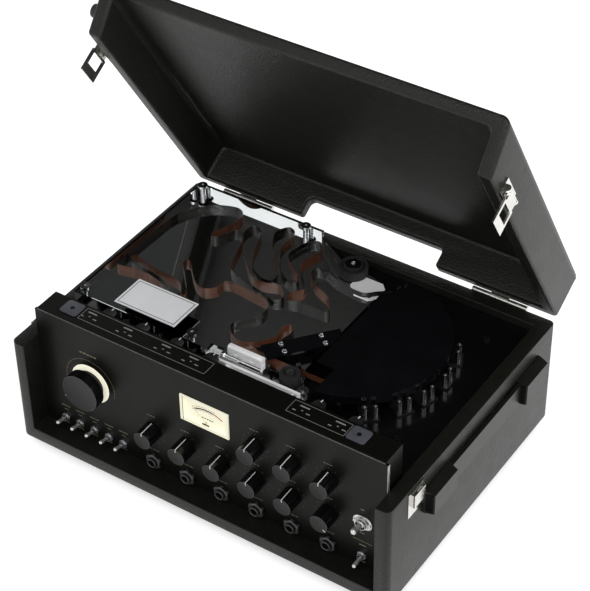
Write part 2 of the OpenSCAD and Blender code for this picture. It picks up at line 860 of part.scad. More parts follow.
// the tape's route through the bin, from the capstan's side to the exit
function route() = [
    [10, 104], [-2, 107], [10, 116], [13, 132], [14, 146], [8, 152], [3, 144], [5, 131], [-2, 119],
    [-13, 109], [-25, 108], [-35, 114], [-40, 123], [-35, 133], [-27, 144], [-24, 155], [-27, 165],
    [-35, 170], [-50, 172], [-69, 174], [-82, 172], [-84, 160], [-92, 152], [-103, 154],
    [-114, 163], [-124, 174], [-131, 180], [-134, 174], [-121, 159], [-109, 145], [-103, 134],
    [-108, 134], [-113, 142], [-123, 149], [-139, 150], [-157, 152], [-170, 155], [-180, 158],
    [-182, 153], [-170, 148], [-154, 145], [-139, 143], [-125, 136], [-117, 127], [-122, 126],
    [-132, 135], [-148, 140], [-163, 141], [-177, 138], [-187, 137], [-189, 148], [-188, 195],
    [-186, 230], [-176, 251], [-163, 266], [-143, 275], [-132, 273], [-127, 263], [-129, 247],
    [-136, 231], [-136, 224], [-130, 225], [-125, 235], [-120, 245], [-111, 242], [-103, 229],
    [-97, 210], [-91, 194], [-82, 187], [-69, 183], [-54, 180], [-41, 177], [-30, 174],
    [-21, 178], [-24, 188], [-34, 196], [-46, 192], [-59, 190], [-74, 200], [-94, 222],
    [-110, 244], [-109, 259], [-98, 257], [-91, 243], [-85, 225], [-75, 208], [-62, 198],
    [-49, 195], [-44, 202], [-50, 215], [-65, 231], [-77, 246], [-84, 261], [-82, 271],
    [-76, 277], [-68, 273], [-66, 261], [-66, 247], [-57, 230], [-45, 215], [-32, 206],
    [-22, 208], [-27, 217], [-41, 227], [-53, 239], [-52, 255], [-46, 270], [-37, 273],
    [-30, 263], [-33, 248], [-34, 232], [-23, 219], [-11, 204], [-18, 194], [-17, 181],
    [-4, 184], [14, 185], [26, 186], [25, 193], [14, 206], [-5, 215], [-18, 226], [-18, 236],
    [-8, 238], [10, 232], [38, 229], [50, 238], [58, 244]];

// one point of a smooth curve through four neighbours
function smooth(a, b, c, d, t) = 0.5 * (2 * b + (c - a) * t + (2 * a - 5 * b + 4 * c - d) * t * t
    + (3 * b - a - 3 * c + d) * t * t * t);

function loop_points() =
    let (drawn_left = -194, drawn_arc = [66.5, 175],
        stretch = (bin_left - arc_x) / (drawn_left - drawn_arc[0]),
        bin = [for (p = route()) [arc_x + (p[0] - drawn_arc[0]) * stretch, arc_y + p[1] - drawn_arc[1]]],
        arc = [for (a = [90:-9:-90]) [arc_x + head_arc_r * cos(a), arc_y + head_arc_r * sin(a)]],
        run = [for (x = [18, 36]) [arc_x - x, tape_y]])
    concat(arc, run, bin);

function smooth_loop(p, steps) =
    let (n = len(p))
    [for (i = [0:n - 1], k = [0:steps - 1])
        smooth(p[(i + n - 1) % n], p[i], p[(i + 1) % n], p[(i + 2) % n], k / steps)];

function shifted(p, d) =
    let (n = len(p))
    [for (i = [0:n - 1])
        let (t = p[(i + 1) % n] - p[(i + n - 1) % n])
        p[i] + [-t[1], t[0]] * d / norm(t)];

// least gap between turns of the tape that lie farther than skip points apart
function least_gap(p, skip) =
    let (n = len(p))
    min([for (i = [0:n - 1], j = [i + skip:n - 1]) if (n + i - j > skip) norm(p[i] - p[j])]) - tape_t;

module tape_loop() {
    centre = smooth_loop(loop_points(), 3);
    echo("least gap of the tape to itself, mm", least_gap(centre, 8));
    color([0.16, 0.09, 0.06])
        unit()
            translate([0, 0, tape_z])
                linear_extrude(tape_w)
                    difference() {
                        polygon(shifted(centre, tape_t / 2));
                        polygon(shifted(centre, -tape_t / 2));
                    }
}

// the black strip over the tape's entry, on its web, and the strip beside the head cover
module pressure_bar() {
    mid = [arc_x - 32, arc_y - 42];
    color([0.03, 0.03, 0.03])
        unit() {
            difference() {
                translate([mid[0], mid[1], 0])
                    rotate([0, 0, 50.7]) {
                        box(-39, 39, -10, 10, top_z + 0.5, top_z + 2.5);
                        box(-18, 10, -1, 1, bin_z, top_z + 1);
                    }
                box(arc_x - 9, arc_x + 20, arc_y - 60, arc_y + 20, bin_z, top_z + 5);
            }
            box(arc_x + 5.5, arc_x + 36, arc_y - 86, arc_y - 83, deck_z, bin_z - 0.5);
        }
}

module guide_roller() {
    z0 = bin_z + 1;
    color([0.05, 0.05, 0.05])
        unit()
            difference() {
                union() {
                    post(guide, z0, z0 + 9.5, guide_r, 64);
                    post(guide, z0 + 9, z0 + 11, guide_r - 5, 48);
                }
                post(guide, 0, z0 + 9.7, 2.5 + fit);
                translate([guide[0], guide[1], z0 + 7.8])
                    rotate_extrude($fn = 64)
                        translate([guide_r - 5, 0])
                            square([2, 3]);
            }
    color([0.05, 0.05, 0.05])
        unit()
            difference() {
                post(guide, z0 - 0.9, z0 + e, 5);
                post(guide, 0, z0 + 1, 2.5 + fit);
            }
}

// ---- drive ------------------------------------------------------------------------

module capstan() {
    color([0.8, 0.8, 0.82])
        unit()
            difference() {
                union() {
                    post(cap_at, wheel_z - 9, bin_z + 9, capstan_r);
                    post(cap_at, wheel_z, wheel_z + wheel_t, flywheel_r, 96);
                    post(cap_at, wheel_z - 4, wheel_z + wheel_t + 6, 8);
                }
                translate([cap_at[0], cap_at[1], wheel_z + wheel_t - 3])
                    rotate_extrude($fn = 64)
                        translate([12, 0])
                            square([flywheel_r - 20, 4]);
            }
}

module motor() {
    bridge = flywheel_r + 8;
    color([0.5, 0.5, 0.52])
        unit()
            difference() {
                union() {
                    post(motor_at, wheel_z + wheel_t + 5, deck_under, motor_r, 64);
                    box(cap_at[0] - bridge - 5, cap_at[0] + bridge + 5, cap_at[1] - 9, cap_at[1] + 9,
                        wheel_z - 11, wheel_z - 8);
                    for (s = [-1, 1])
                        post([cap_at[0] + s * bridge, cap_at[1]], wheel_z - 9, deck_under, 4);
                }
                post(cap_at, wheel_z - 9, wheel_z, capstan_r + fit);
                post(motor_at, wheel_z, wheel_z + wheel_t + 17, 3 + fit);
            }
}

module motor_pulley() {
    color([0.7, 0.6, 0.3])
        unit() {
            post(motor_at, wheel_z, wheel_z + 2.4, pulley_r + 1.5, 48);
            post(motor_at, wheel_z, wheel_z + wheel_t, pulley_r, 48);
            post(motor_at, wheel_z + 7.6, wheel_z + wheel_t, pulley_r + 1.5, 48);
            post(motor_at, wheel_z + 5, wheel_z + wheel_t + 15, 3);
        }
}

module drive_belt() {
    belt_t = 1;
    color([0.04, 0.04, 0.04])
        unit()
            translate([0, 0, wheel_z + 2.8])
                difference() {
                    belt_shape(belt_t + fit, 4.4);
                    translate([0, 0, -1]) belt_shape(fit, 7);
                }
}

module belt_shape(extra, h) {
    hull() {
        translate([cap_at[0], cap_at[1], 0]) cylinder(h = h, r = flywheel_r + extra, $fn = 96);
        translate([motor_at[0], motor_at[1], 0]) cylinder(h = h, r = pulley_r + extra, $fn = 48);
    }
}

module pinch_arm() {
    z0 = deck_z + 5;
    color([0.6, 0.6, 0.62])
        unit()
            difference() {
                union() {
                    hull() {
                        post(arm_pivot, z0, z0 + 2.5, 5.5);
                        post(pinch, z0, z0 + 2.5, 5);
                    }
                    hull() {
                        post(arm_pivot, z0, z0 + 2.5, 5.5);
                        post(arm_pin, z0, z0 + 2.5, 3);
                    }
                    post(arm_pivot, z0, z0 + 8, 5.5);
                    post(arm_pin, z0, bin_z + 1, 1.5);
                    post(pinch, z0, top_z + 4, 2);
                    post(pinch, top_z + 2.6, top_z + 4.4, 3.6);
                }
                post(arm_pivot, 0, through, 2.5 + fit);
            }
}

module pinch_roller() {
    z0 = bin_z - 4;
    color([0.06, 0.06, 0.06])
        unit()
            difference() {
                post(pinch, z0, top_z + 2.5, pinch_r, 64);
                post(pinch, 0, through, 2 + fit);
                translate([pinch[0], pinch[1], top_z + 1.5])
                    cylinder(h = 2, r = 6, $fn = 32);
            }
    color([0.06, 0.06, 0.06])
        unit()
            difference() {
                post(pinch, deck_z + 7.6, z0 + e, 4);
                post(pinch, 0, through, 2 + fit);
            }
}

// the coil on its bracket; the plunger slides in its bore
module solenoid() {
    axis_z = bin_z + 1.5;
    y = tape_y - 16;
    color([0.8, 0.8, 0.82])
        unit()
            difference() {
                union() {
                    translate([-21, y, axis_z]) rotate([0, 90, 0]) cylinder(h = 41, r = 6, $fn = 48);
                    box(-24, 23, y - 5.5, y + 6, deck_z, deck_z + 2);
                    box(-24, -21, y - 5.5, y + 6, deck_z, axis_z + 6);
                    box(20, 23, y - 5.5, y + 6, deck_z, axis_z + 6);
                }
                translate([-30, y, axis_z]) rotate([0, 90, 0]) cylinder(h = 45, r = 2.5 + fit, $fn = 32);
            }
}

// the plunger with the double link that draws the pinch arm's pin
module plunger() {
    axis_z = bin_z + 1.5;
    y = tape_y - 16;
    z0 = bin_z - 3;
    y0 = arm_pin[1] - 5;
    color([0.8, 0.8, 0.82])
        unit()
            difference() {
                union() {
                    translate([-36, y, axis_z]) rotate([0, 90, 0]) cylinder(h = 40, r = 2.5, $fn = 32);
                    box(-38, -34, y0 + 7, y + 3, z0, axis_z + 3);
                    box(-14, -10, y0, y0 + 10, z0, bin_z + 2);
                    box(-14, arm_pin[0] + 4, y0, y0 + 3, z0, bin_z + 3);
                    box(-36, arm_pin[0] + 4, y0 + 7, y0 + 10, z0, bin_z + 3);
                    box(arm_pin[0] - 4, arm_pin[0] + 4, y0, y0 + 10, z0, z0 + 3);
                }
                translate([arm_pin[0], arm_pin[1], 0]) {
                    box(-1.6, 1.6, -2.2, 2.2, 0, through);
                }
            }
}

// ---- electronics ------------------------------------------------------------------

module main_board() {
    z0 = floor_t;
    b = z0 + 8;
    x0 = -in_x + 25;
    x1 = in_x - 22;
    y1 = in_back - 14;
    color([0.10, 0.25, 0.14])
        unit() {
            box(x0, 60, 84, y1 - 12, b, b + 2);
            for (x = [x0 + 8, 52], y = [92, y1 - 20])
                post([x, y], z0, b + e, 3);
            for (i = [0:3])
                post([x0 + 30 + 22 * i, 120], b + 1, b + 18, 7);
            for (i = [0:2])
                box(x0 + 40 + 45 * i, x0 + 60 + 45 * i, 160, 168, b + 1, b + 6);
            for (i = [0:5])
                post([x0 + 30 + 26 * i, 200], b + 1, b + 12, 4);
            box(x1 - 62, x1, y1 - 50, y1, z0, z0 + 30);
            box(x1 - 50, x1 - 12, y1 - 56, y1 + 6, z0 + 2, z0 + 28);
        }
}

// ---- what is drawn ----------------------------------------------------------------

case_shell();
case_feet();
front_panel();
control_head();
deck_screws();
deck_plate();
bin_tray();
bin_cover();
deck_posts();
notice_plate();
tape_loop();
head_cover();
tape_heads();
guide_roller();
capstan();
pinch_arm();
pinch_roller();
solenoid();
plunger();
motor();
motor_pulley();
drive_belt();
pressure_bar();
main_board();
input_jacks();
meter();
meter_needle();
control_bodies();
rear_panel();
case_fittings();
handle_caps();
handle_strap();
lid_shell();
lid_feet();
lid_fittings();
latch_left();
latch_right();
mode_knob();
knob(0);  // knob_1
knob(1);  // knob_2
knob(2);  // knob_3
knob(3);  // knob_4
knob(4);  // knob_5
knob(5);  // knob_6
knob(6);  // knob_7
knob(7);  // knob_8
knob(8);  // knob_9
trim(0);  // trim_1
trim(1);  // trim_2
trim(2);  // trim_3
trim(3);  // trim_4
trim(4);  // trim_5
trim(5);  // trim_6
toggle(0);  // toggle_1
toggle(1);  // toggle_2
toggle(2);  // toggle_3
toggle(3);  // toggle_4
toggle(4);  // toggle_5
power_lever();
speed_lever();
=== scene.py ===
import math

import bpy
from mathutils import Matrix, Vector


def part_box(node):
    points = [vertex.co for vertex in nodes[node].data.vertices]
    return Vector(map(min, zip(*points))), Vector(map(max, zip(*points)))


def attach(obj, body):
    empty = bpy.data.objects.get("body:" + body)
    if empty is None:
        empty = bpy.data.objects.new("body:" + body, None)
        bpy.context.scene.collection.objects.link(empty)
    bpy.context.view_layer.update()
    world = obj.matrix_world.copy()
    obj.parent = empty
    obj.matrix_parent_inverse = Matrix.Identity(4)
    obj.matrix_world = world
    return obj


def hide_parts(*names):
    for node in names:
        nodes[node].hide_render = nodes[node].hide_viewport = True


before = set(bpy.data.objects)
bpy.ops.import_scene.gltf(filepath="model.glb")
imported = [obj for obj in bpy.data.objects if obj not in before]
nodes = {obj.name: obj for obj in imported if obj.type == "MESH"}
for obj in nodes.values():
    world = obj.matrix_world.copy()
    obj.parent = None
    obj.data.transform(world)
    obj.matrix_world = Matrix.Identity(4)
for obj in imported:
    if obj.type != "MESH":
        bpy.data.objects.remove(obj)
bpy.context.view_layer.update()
MM = 0.001

# ---- camera -----------------------------------------------------------------------
# The photograph's view, from the right and above the front, through a long lens.
CAMERA_PLACE = (0.79772, -1.15496, 1.33592)
CAMERA_TURN = (50.4526, 0.7289, 33.5780)
LENS = 118.508
bpy.ops.object.camera_add(location=CAMERA_PLACE,
                          rotation=[math.radians(a) for a in CAMERA_TURN])
camera = bpy.context.object
camera.data.lens = LENS
camera.data.clip_end = 20
bpy.context.scene.camera = camera

# ---- floor and light --------------------------------------------------------------
# A pale floor that keeps a soft shadow, in a room with white walls, higher in front,
# and a dark ceiling, lit by two broad soft lamps. Only straight, mirrored and
# see-through views show floor and room so bright.


def add_node(material, kind, inputs=None, **settings):
    tree = material.node_tree
    node = tree.nodes.new(kind)
    for key, value in settings.items():
        setattr(node, key, value)
    for key, value in (inputs or {}).items():
        if isinstance(value, bpy.types.NodeSocket):
            tree.links.new(value, node.inputs[key])
        else:
            node.inputs[key].default_value = value
    return node


def seen_rays(material):
    path = add_node(material, "ShaderNodeLightPath").outputs
    camera_or_mirror = add_node(material, "ShaderNodeMath",
                                {0: path["Is Camera Ray"], 1: path["Is Glossy Ray"]},
                                operation="MAXIMUM")
    return add_node(material, "ShaderNodeMath",
                    {0: camera_or_mirror.outputs[0], 1: path["Is Transmission Ray"]},
                    operation="MAXIMUM").outputs[0]


ROOM_LIGHT = 0.5
CEILING = 0.03
WALLS_END, CEILING_START = 0.60, 0.66
HIGHER_IN_FRONT = 0.12
FLOOR_SIZE = 9
FLOOR_SHADE, FLOOR_SEEN = 0.5, 0.9
FLOOR_GLOW = 0.55
LAMP_AIM = Vector((0, 0, 0.1))
LAMPS = [("key_lamp", (0.5, -1.7, 2.3), 1.6, 24), ("side_lamp", (2.3, 0.2, 1.1), 1.3, 22)]
room = bpy.data.worlds.new("room")
bpy.context.scene.world = room
room.use_nodes = True
direction = add_node(room, "ShaderNodeTexCoord").outputs["Generated"]
ways = add_node(room, "ShaderNodeSeparateXYZ", {"Vector": direction}).outputs
upwards = add_node(room, "ShaderNodeMath", {0: ways["Y"], 1: HIGHER_IN_FRONT, 2: ways["Z"]},
                   operation="MULTIPLY_ADD")
walls = add_node(room, "ShaderNodeMapRange",
                 {"Value": upwards.outputs[0], "From Min": WALLS_END, "From Max": CEILING_START,
                  "To Min": 1.0, "To Max": CEILING})
strength = add_node(room, "ShaderNodeMapRange",
                    {"Value": seen_rays(room), "To Min": ROOM_LIGHT,
                     "To Max": walls.outputs["Result"]})
room_background = room.node_tree.nodes["Background"]
room_background.inputs["Color"].default_value = (1.0, 1.0, 1.0, 1.0)
room.node_tree.links.new(strength.outputs["Result"], room_background.inputs["Strength"])

bpy.ops.mesh.primitive_plane_add(size=FLOOR_SIZE)
floor = bpy.context.object
floor.name = "floor"
floor_white = bpy.data.materials.new("floor_white")
floor_white.use_nodes = True
floor_shader = floor_white.node_tree.nodes["Principled BSDF"]
for socket, low, high in [("Base Color", FLOOR_SHADE, FLOOR_SEEN),
                          ("Emission Strength", 0.0, FLOOR_GLOW)]:
    shade = add_node(floor_white, "ShaderNodeMapRange",
                     {"Value": seen_rays(floor_white), "To Min": low, "To Max": high})
    floor_white.node_tree.links.new(shade.outputs["Result"], floor_shader.inputs[socket])
floor_shader.inputs["Emission Color"].default_value = (1, 1, 1, 1)
floor_shader.inputs["Roughness"].default_value = 1.0
floor_shader.inputs["Specular IOR Level"].default_value = 0.0
floor.data.materials.append(floor_white)

for name, place, size, power in LAMPS:
    bpy.ops.object.light_add(type="AREA", location=place)
    lamp = bpy.context.object
    lamp.name = name
    lamp.data.size = size
    lamp.data.energy = power
    lamp.rotation_euler = (LAMP_AIM - lamp.location).to_track_quat("-Z", "Y").to_euler()

# ---- case covering ----------------------------------------------------------------
# A wooden box open at the front and top, wrapped in pebbled black vinyl that softens
# every edge. The covering is one skin over floor, side walls and back.
case_lo, case_hi = (Vector(corner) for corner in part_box("case_shell"))
panel_lo, panel_hi = (Vector(corner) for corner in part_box("front_panel"))
rear_lo, rear_hi = (Vector(corner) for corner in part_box("rear_panel"))
FRONT = case_lo.y
PANEL_GAP = 0.2 * MM
WALL = case_hi.x - panel_hi.x - PANEL_GAP
REAR_MARGIN = 8 * MM
OUTER_R = 5 * MM
FRONT_R = 6.5 * MM
BASE_R = 3 * MM
LIP_R = 5 * MM
SOFT_EDGE = 1.8 * MM
VINYL_BLACK = (0.0074, 0.0076, 0.0056)
VINYL_ROUGH = 0.38
PEBBLE_PITCH = 1.5 * MM
PEBBLE_DEPTH = 0.25 * MM
NEAR, TOUCHING = 0.1 * MM, 0.01 * MM
THROUGH = 30 * MM
BEYOND = 1


def at(x, y, z):
    """A place in the case's millimetres: across, back from its front, up from its base."""
    return Vector((x * MM, FRONT + y * MM, case_lo.z + z * MM))


def new_finish(name, colour, rough, metal=0.0, **sockets):
    material = bpy.data.materials.new(name)
    material.use_nodes = True
    shader = material.node_tree.nodes["Principled BSDF"]
    shader.inputs["Base Color"].default_value = (*colour, 1)
    shader.inputs["Roughness"].default_value = rough
    shader.inputs["Metallic"].default_value = metal
    for socket, value in sockets.items():
        shader.inputs[socket.replace("_", " ")].default_value = value
    return material


def texture(material, kind, scale, detail=None, **settings):
    place = add_node(material, "ShaderNodeTexCoord").outputs["Object"]
    inputs = {"Vector": place, "Scale": scale}
    if detail is not None:
        inputs["Detail"] = detail
    return add_node(material, kind, inputs, **settings)


def vary_colour(material, scale, amount):
    """Patches a little darker and lighter than the finish's own colour."""
    shader = material.node_tree.nodes["Principled BSDF"]
    colour = list(shader.inputs["Base Color"].default_value)[:3]
    noise = texture(material, "ShaderNodeTexNoise", scale, 5.0)
    ramp = add_node(material, "ShaderNodeValToRGB", {"Fac": noise.outputs["Fac"]})
    for stop, place, gain in zip(ramp.color_ramp.elements, (0.3, 0.7), (1 - amount, 1 + amount)):
        stop.position = place
        stop.color = (*[min(1.0, c * gain) for c in colour], 1)
    material.node_tree.links.new(ramp.outputs["Color"], shader.inputs["Base Color"])


def vary_rough(material, scale, spread):
    """Smears where the surface is a little duller or brighter."""
    shader = material.node_tree.nodes["Principled BSDF"]
    middle = shader.inputs["Roughness"].default_value
    noise = texture(material, "ShaderNodeTexNoise", scale, 3.0)
    span = add_node(material, "ShaderNodeMapRange",
                    {"Value": noise.outputs["Fac"], "From Min": 0.3, "From Max": 0.7,
                     "To Min": max(0.0, middle - spread), "To Max": middle + spread})
    material.node_tree.links.new(span.outputs["Result"], shader.inputs["Roughness"])


def relief(material, height, strength, depth):
    bump = add_node(material, "ShaderNodeBump",
                    {"Height": height, "Strength": strength, "Distance": depth})
    shader = material.node_tree.nodes["Principled BSDF"]
    material.node_tree.links.new(bump.outputs["Normal"], shader.inputs["Normal"])


def grain(material, scale, strength, depth=0.05 * MM):
    """A fine even relief that breaks up the highlights."""
    noise = texture(material, "ShaderNodeTexNoise", scale, 2.0)
    relief(material, noise.outputs["Fac"], strength, depth)


def pebbled(name, colour, rough):
    """Embossed vinyl: rounded pebbles with valleys between them."""
    material = new_finish(name, colour, rough, Specular_IOR_Level=0.28)
    vary_colour(material, 160, 0.2)
    vary_rough(material, 60, 0.02)
    cells = texture(material, "ShaderNodeTexVoronoi", 1 / PEBBLE_PITCH, feature="SMOOTH_F1")
    dome = add_node(material, "ShaderNodeMapRange",
                    {"Value": cells.outputs["Distance"], "From Min": 0.1, "From Max": 0.6,
                     "To Min": 1.0, "To Max": 0.0})
    relief(material, dome.outputs["Result"], 0.8, PEBBLE_DEPTH)
    return material


def deselect():
    if bpy.context.object and bpy.context.object.mode != "OBJECT":
        bpy.ops.object.mode_set(mode="OBJECT")
    bpy.ops.object.select_all(action="DESELECT")


def only(piece):
    deselect()
    piece.select_set(True)
    bpy.context.view_layer.objects.active = piece


def block(lo, hi):
    deselect()
    lo, hi = Vector(lo), Vector(hi)
    bpy.ops.mesh.primitive_cube_add(size=1, location=(lo + hi) / 2, scale=hi - lo)
    bpy.ops.object.transform_apply(location=True, rotation=True, scale=True)
    return bpy.context.object


def pick(piece, kind, test):
    """Goes into edit mode with the faces or edges whose middle and normal or run pass a test."""
    only(piece)
    bpy.ops.object.mode_set(mode="EDIT")
    bpy.ops.mesh.select_mode(type=kind)
    bpy.ops.mesh.select_all(action="DESELECT")
    bpy.ops.object.mode_set(mode="OBJECT")
    mesh = piece.data
    if kind == "FACE":
        for face in mesh.polygons:
            face.select = bool(test(face.center, face.normal))
    else:
        for edge in mesh.edges:
            a, b = (mesh.vertices[i].co for i in edge.vertices)
            edge.select = bool(test((a + b) / 2, (b - a).normalized()))
    bpy.ops.object.mode_set(mode="EDIT")


def round_edges(piece, width, test, segments=5):
    pick(piece, "EDGE", test)
    bpy.ops.mesh.bevel(offset=width, segments=segments, affect="EDGES", clamp_overlap=True)
    bpy.ops.object.mode_set(mode="OBJECT")


def modify(piece, kind, **values):
    only(piece)
    modifier = piece.modifiers.new(kind.lower(), kind)
    for key, value in values.items():
        setattr(modifier, key, value)
    bpy.ops.object.modifier_apply(modifier=modifier.name)


def soften(piece, width, segments=3, angle=35):
    modify(piece, "BEVEL", width=width, segments=segments, limit_method="ANGLE",
           angle_limit=math.radians(angle))


def carve(piece, cutter):
    modify(piece, "BOOLEAN", operation="DIFFERENCE", object=cutter, solver="EXACT")
    bpy.data.objects.remove(cutter)


def settle(piece, name, body, *finishes, slot=None, angle=35):
    """Names a finished piece, gives it its finishes and fixes it to a body."""
    only(piece)
    bpy.ops.object.transform_apply(location=True, rotation=True, scale=True)
    bpy.ops.object.shade_smooth_by_angle(angle=math.radians(angle))
    piece.name = name
    piece.data.name = name
    if len(piece.data.materials) != len(finishes):
        piece.data.materials.clear()
        for material in finishes:
            piece.data.materials.append(material)
    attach(piece, body)


def upright(middle, run):
    return abs(run.z) > 0.9


def floor_lip(middle, run):
    """The long top edge of the case's floor, at its front."""
    return middle.y < FRONT + NEAR and abs(middle.z - panel_lo.z) < NEAR and abs(run.x) > 0.9


vinyl = pebbled("pebbled_vinyl", VINYL_BLACK, VINYL_ROUGH)
covering = block(case_lo, case_hi)
round_edges(covering, OUTER_R, lambda m, run: upright(m, run) and m.y > 0, 6)
round_edges(covering, FRONT_R, lambda m, run: upright(m, run) and m.y < FRONT + NEAR, 7)
carve(covering, block((case_lo.x + WALL, FRONT - BEYOND, panel_lo.z),
                      (case_hi.x - WALL, case_hi.y - WALL, BEYOND)))
carve(covering, block((rear_lo.x + REAR_MARGIN, case_hi.y - THROUGH, rear_lo.z + REAR_MARGIN),
                      (rear_hi.x - REAR_MARGIN, case_hi.y + THROUGH, rear_hi.z - REAR_MARGIN)))
round_edges(covering, BASE_R, lambda m, run: m.z < case_lo.z + NEAR and abs(run.z) < 0.1, 5)
round_edges(covering, LIP_R, floor_lip, 6)
soften(covering, SOFT_EDGE, 4, 50)
settle(covering, "case_covering", "case", vinyl, slot="vinyl", angle=50)
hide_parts("case_shell")

# ---- feet -------------------------------------------------------------------------
# Four turned rubber feet underneath and small ones on the left side and the lid.


def dress(finish, *names):
    for name in names:
        nodes[name].data.materials.clear()
        nodes[name].data.materials.append(finish)


rubber = new_finish("black_rubber", (0.010, 0.010, 0.010), 0.65)
vary_colour(rubber, 90, 0.25)
grain(rubber, 1400, 0.3, 0.1 * MM)
dress(rubber, "case_feet", "lid_feet")

# ---- front panel and control head -------------------------------------------------
# Folded sheet steel in satin black paint. Thin light metal strips along two of its edges
# are painted highlights, where those edges catch the light. The head's top holds two grey
# corner plates, each under one black screw.
panel_paint = new_finish("panel_paint", (0.0045, 0.0046, 0.0036), 0.36, Specular_IOR_Level=0.10)
vary_colour(panel_paint, 40, 0.1)
vary_rough(panel_paint, 30, 0.05)
grain(panel_paint, 2600, 0.25)
dress(panel_paint, "front_panel", "control_head")

# Painted highlights: light metal strips along the head's front edge and the panel's right edge.
bright_edge_highlight = new_finish("painted_edge_highlight", (0.34, 0.34, 0.33), 0.35, 0.8)
vary_rough(bright_edge_highlight, 200, 0.1)
vary_colour(bright_edge_highlight, 300, 0.3)
dim_edge_highlight = new_finish("dim_edge_highlight", (0.10, 0.10, 0.10), 0.4, 0.5)
vary_rough(dim_edge_highlight, 200, 0.1)
vary_colour(dim_edge_highlight, 300, 0.3)
head_lo, head_hi = (Vector(corner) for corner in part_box("control_head"))
STRIP_OUT = 0.1 * MM
STRIP_R = 0.15 * MM
SHEET_T = 0.6 * MM


# A thin metal strip laid along an edge as a painted highlight.
def edge_highlight_strip(name, finish, lo, hi):
    strip = block(lo, hi)
    soften(strip, STRIP_R, 2)
    settle(strip, name, "case", finish)


edge_highlight_strip("head_front_edge", dim_edge_highlight,
           (head_lo.x, head_lo.y - STRIP_OUT, head_hi.z - 1.5 * MM),
           (head_hi.x, head_lo.y + 0.5 * MM, head_hi.z - SHEET_T))
edge_highlight_strip("panel_right_edge", bright_edge_highlight,
           (panel_hi.x - SHEET_T, panel_lo.y - STRIP_OUT * 1.5, case_hi.z),
           (panel_hi.x + STRIP_OUT / 2, panel_hi.y, panel_hi.z))

plate_grey = new_finish("plate_grey", (0.070, 0.074, 0.088), 0.45, Specular_IOR_Level=0.2)
vary_colour(plate_grey, 120, 0.1)
black_steel = new_finish("blackened_screw", (0.012, 0.012, 0.012), 0.3, 0.6)
vary_rough(black_steel, 400, 0.1)
LEFT_X, RIGHT_X = -162.6, 154.8
PLATE_HALF = 9.7
PLATE_FRONT, PLATE_BACK = 30, 48
PLATE_BASE, PLATE_TOP = 155, 156
PLATE_R = 3 * MM
SCREW_R, SCREW_H = 2.2 * MM, 0.8 * MM
for name, x in [("corner_plate_left", LEFT_X), ("corner_plate_right", RIGHT_X)]:
    plate = block(at(x - PLATE_HALF, PLATE_FRONT, PLATE_BASE),
                  at(x + PLATE_HALF, PLATE_BACK, PLATE_TOP))
    round_edges(plate, PLATE_R, upright, 5)
    soften(plate, PLATE_R / 10, 2)
    settle(plate, name, "case", plate_grey)


def drum(centre, radius, height, axis="Z", sides=48):
    """A turned blank, its end face looking up, or to the front on axis Y, or right on X."""
    deselect()
    turn = {"Z": (0, 0, 0), "Y": (math.pi / 2, 0, 0), "X": (0, math.pi / 2, 0)}[axis]
    bpy.ops.mesh.primitive_cylinder_add(vertices=sides, radius=radius, depth=height,
                                        location=centre, rotation=turn)
    bpy.ops.object.transform_apply(location=True, rotation=True, scale=True)
    return bpy.context.object


AXES = {"Z": Vector((0, 0, 1)), "Y": Vector((0, -1, 0)), "X": Vector((1, 0, 0))}


def screw_head(centre, radius, height, axis="Z", slots=2):
    """A domed head with a cross or a single slot cut in it."""
    head = drum(centre, radius, height, axis, 24)
    out = AXES[axis]
    pick(head, "FACE", lambda m, n: n.dot(out) > 0.9)
    bpy.ops.mesh.inset(thickness=radius * 0.3)
    bpy.ops.transform.translate(value=out * height * 0.25)
    bpy.ops.object.mode_set(mode="OBJECT")
    soften(head, radius * 0.08, 2)
    top = Vector(centre) + out * height * 0.75
    across = [v for k, v in AXES.items() if k != axis]
    for long_way, short_way in [across, across[::-1]][:slots]:
        half = Vector([abs(c) for c in long_way]) * radius * 0.62
        half += Vector([abs(c) for c in short_way]) * radius * 0.11
        half += Vector([abs(c) for c in out]) * height * 0.35
        carve(head, block(top - half, top + half))
    return head


def copy_piece(piece, shift):
    twin = piece.copy()
    twin.data = piece.data.copy()
    bpy.context.collection.objects.link(twin)
    twin.location = Vector(twin.location) + Vector(shift)
    return twin


def join(pieces):
    deselect()
    for piece in pieces:
        piece.select_set(True)
    bpy.context.view_layer.objects.active = pieces[0]
    bpy.ops.object.join()
    return pieces[0]


first = screw_head(at(LEFT_X, (PLATE_FRONT + PLATE_BACK) / 2, PLATE_TOP + 0.3), SCREW_R, SCREW_H)
second = copy_piece(first, ((RIGHT_X - LEFT_X) * MM, 0, 0))
settle(join([first, second]), "corner_plate_screws", "case", black_steel)

# ---- printing ---------------------------------------------------------------------
# Screen printed marks in cream and white ink: the mode knob's arc, a ring of ticks at
# each knob, and short plain bars where the functions are named.
cream_ink = new_finish("cream_ink", (0.19, 0.165, 0.095), 0.5)
vary_colour(cream_ink, 600, 0.15)
white_ink = new_finish("white_ink", (0.22, 0.22, 0.21), 0.5)
vary_colour(white_ink, 600, 0.1)
INK_T = 0.06 * MM
knob_boxes = {i: [Vector(c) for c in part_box(f"knob_{i}")] for i in range(1, 10)}
PANEL_Y = panel_lo.y
HEAD_Z = head_hi.z


def bar_on_panel(x, z, length, height=0.55):
    """A flat printed bar on the upright panel, given in case millimetres."""
    middle = at(x, 0, z)
    middle.y = PANEL_Y
    half = Vector((length / 2 * MM, 0, height / 2 * MM))
    return block(middle - half - Vector((0, INK_T, 0)), middle + half)


def bar_on_head(x, y, length, depth=1.2):
    middle = at(x, y, 0)
    middle.z = HEAD_Z
    half = Vector((length / 2 * MM, depth / 2 * MM, 0))
    return block(middle - half, middle + half + Vector((0, 0, INK_T)))


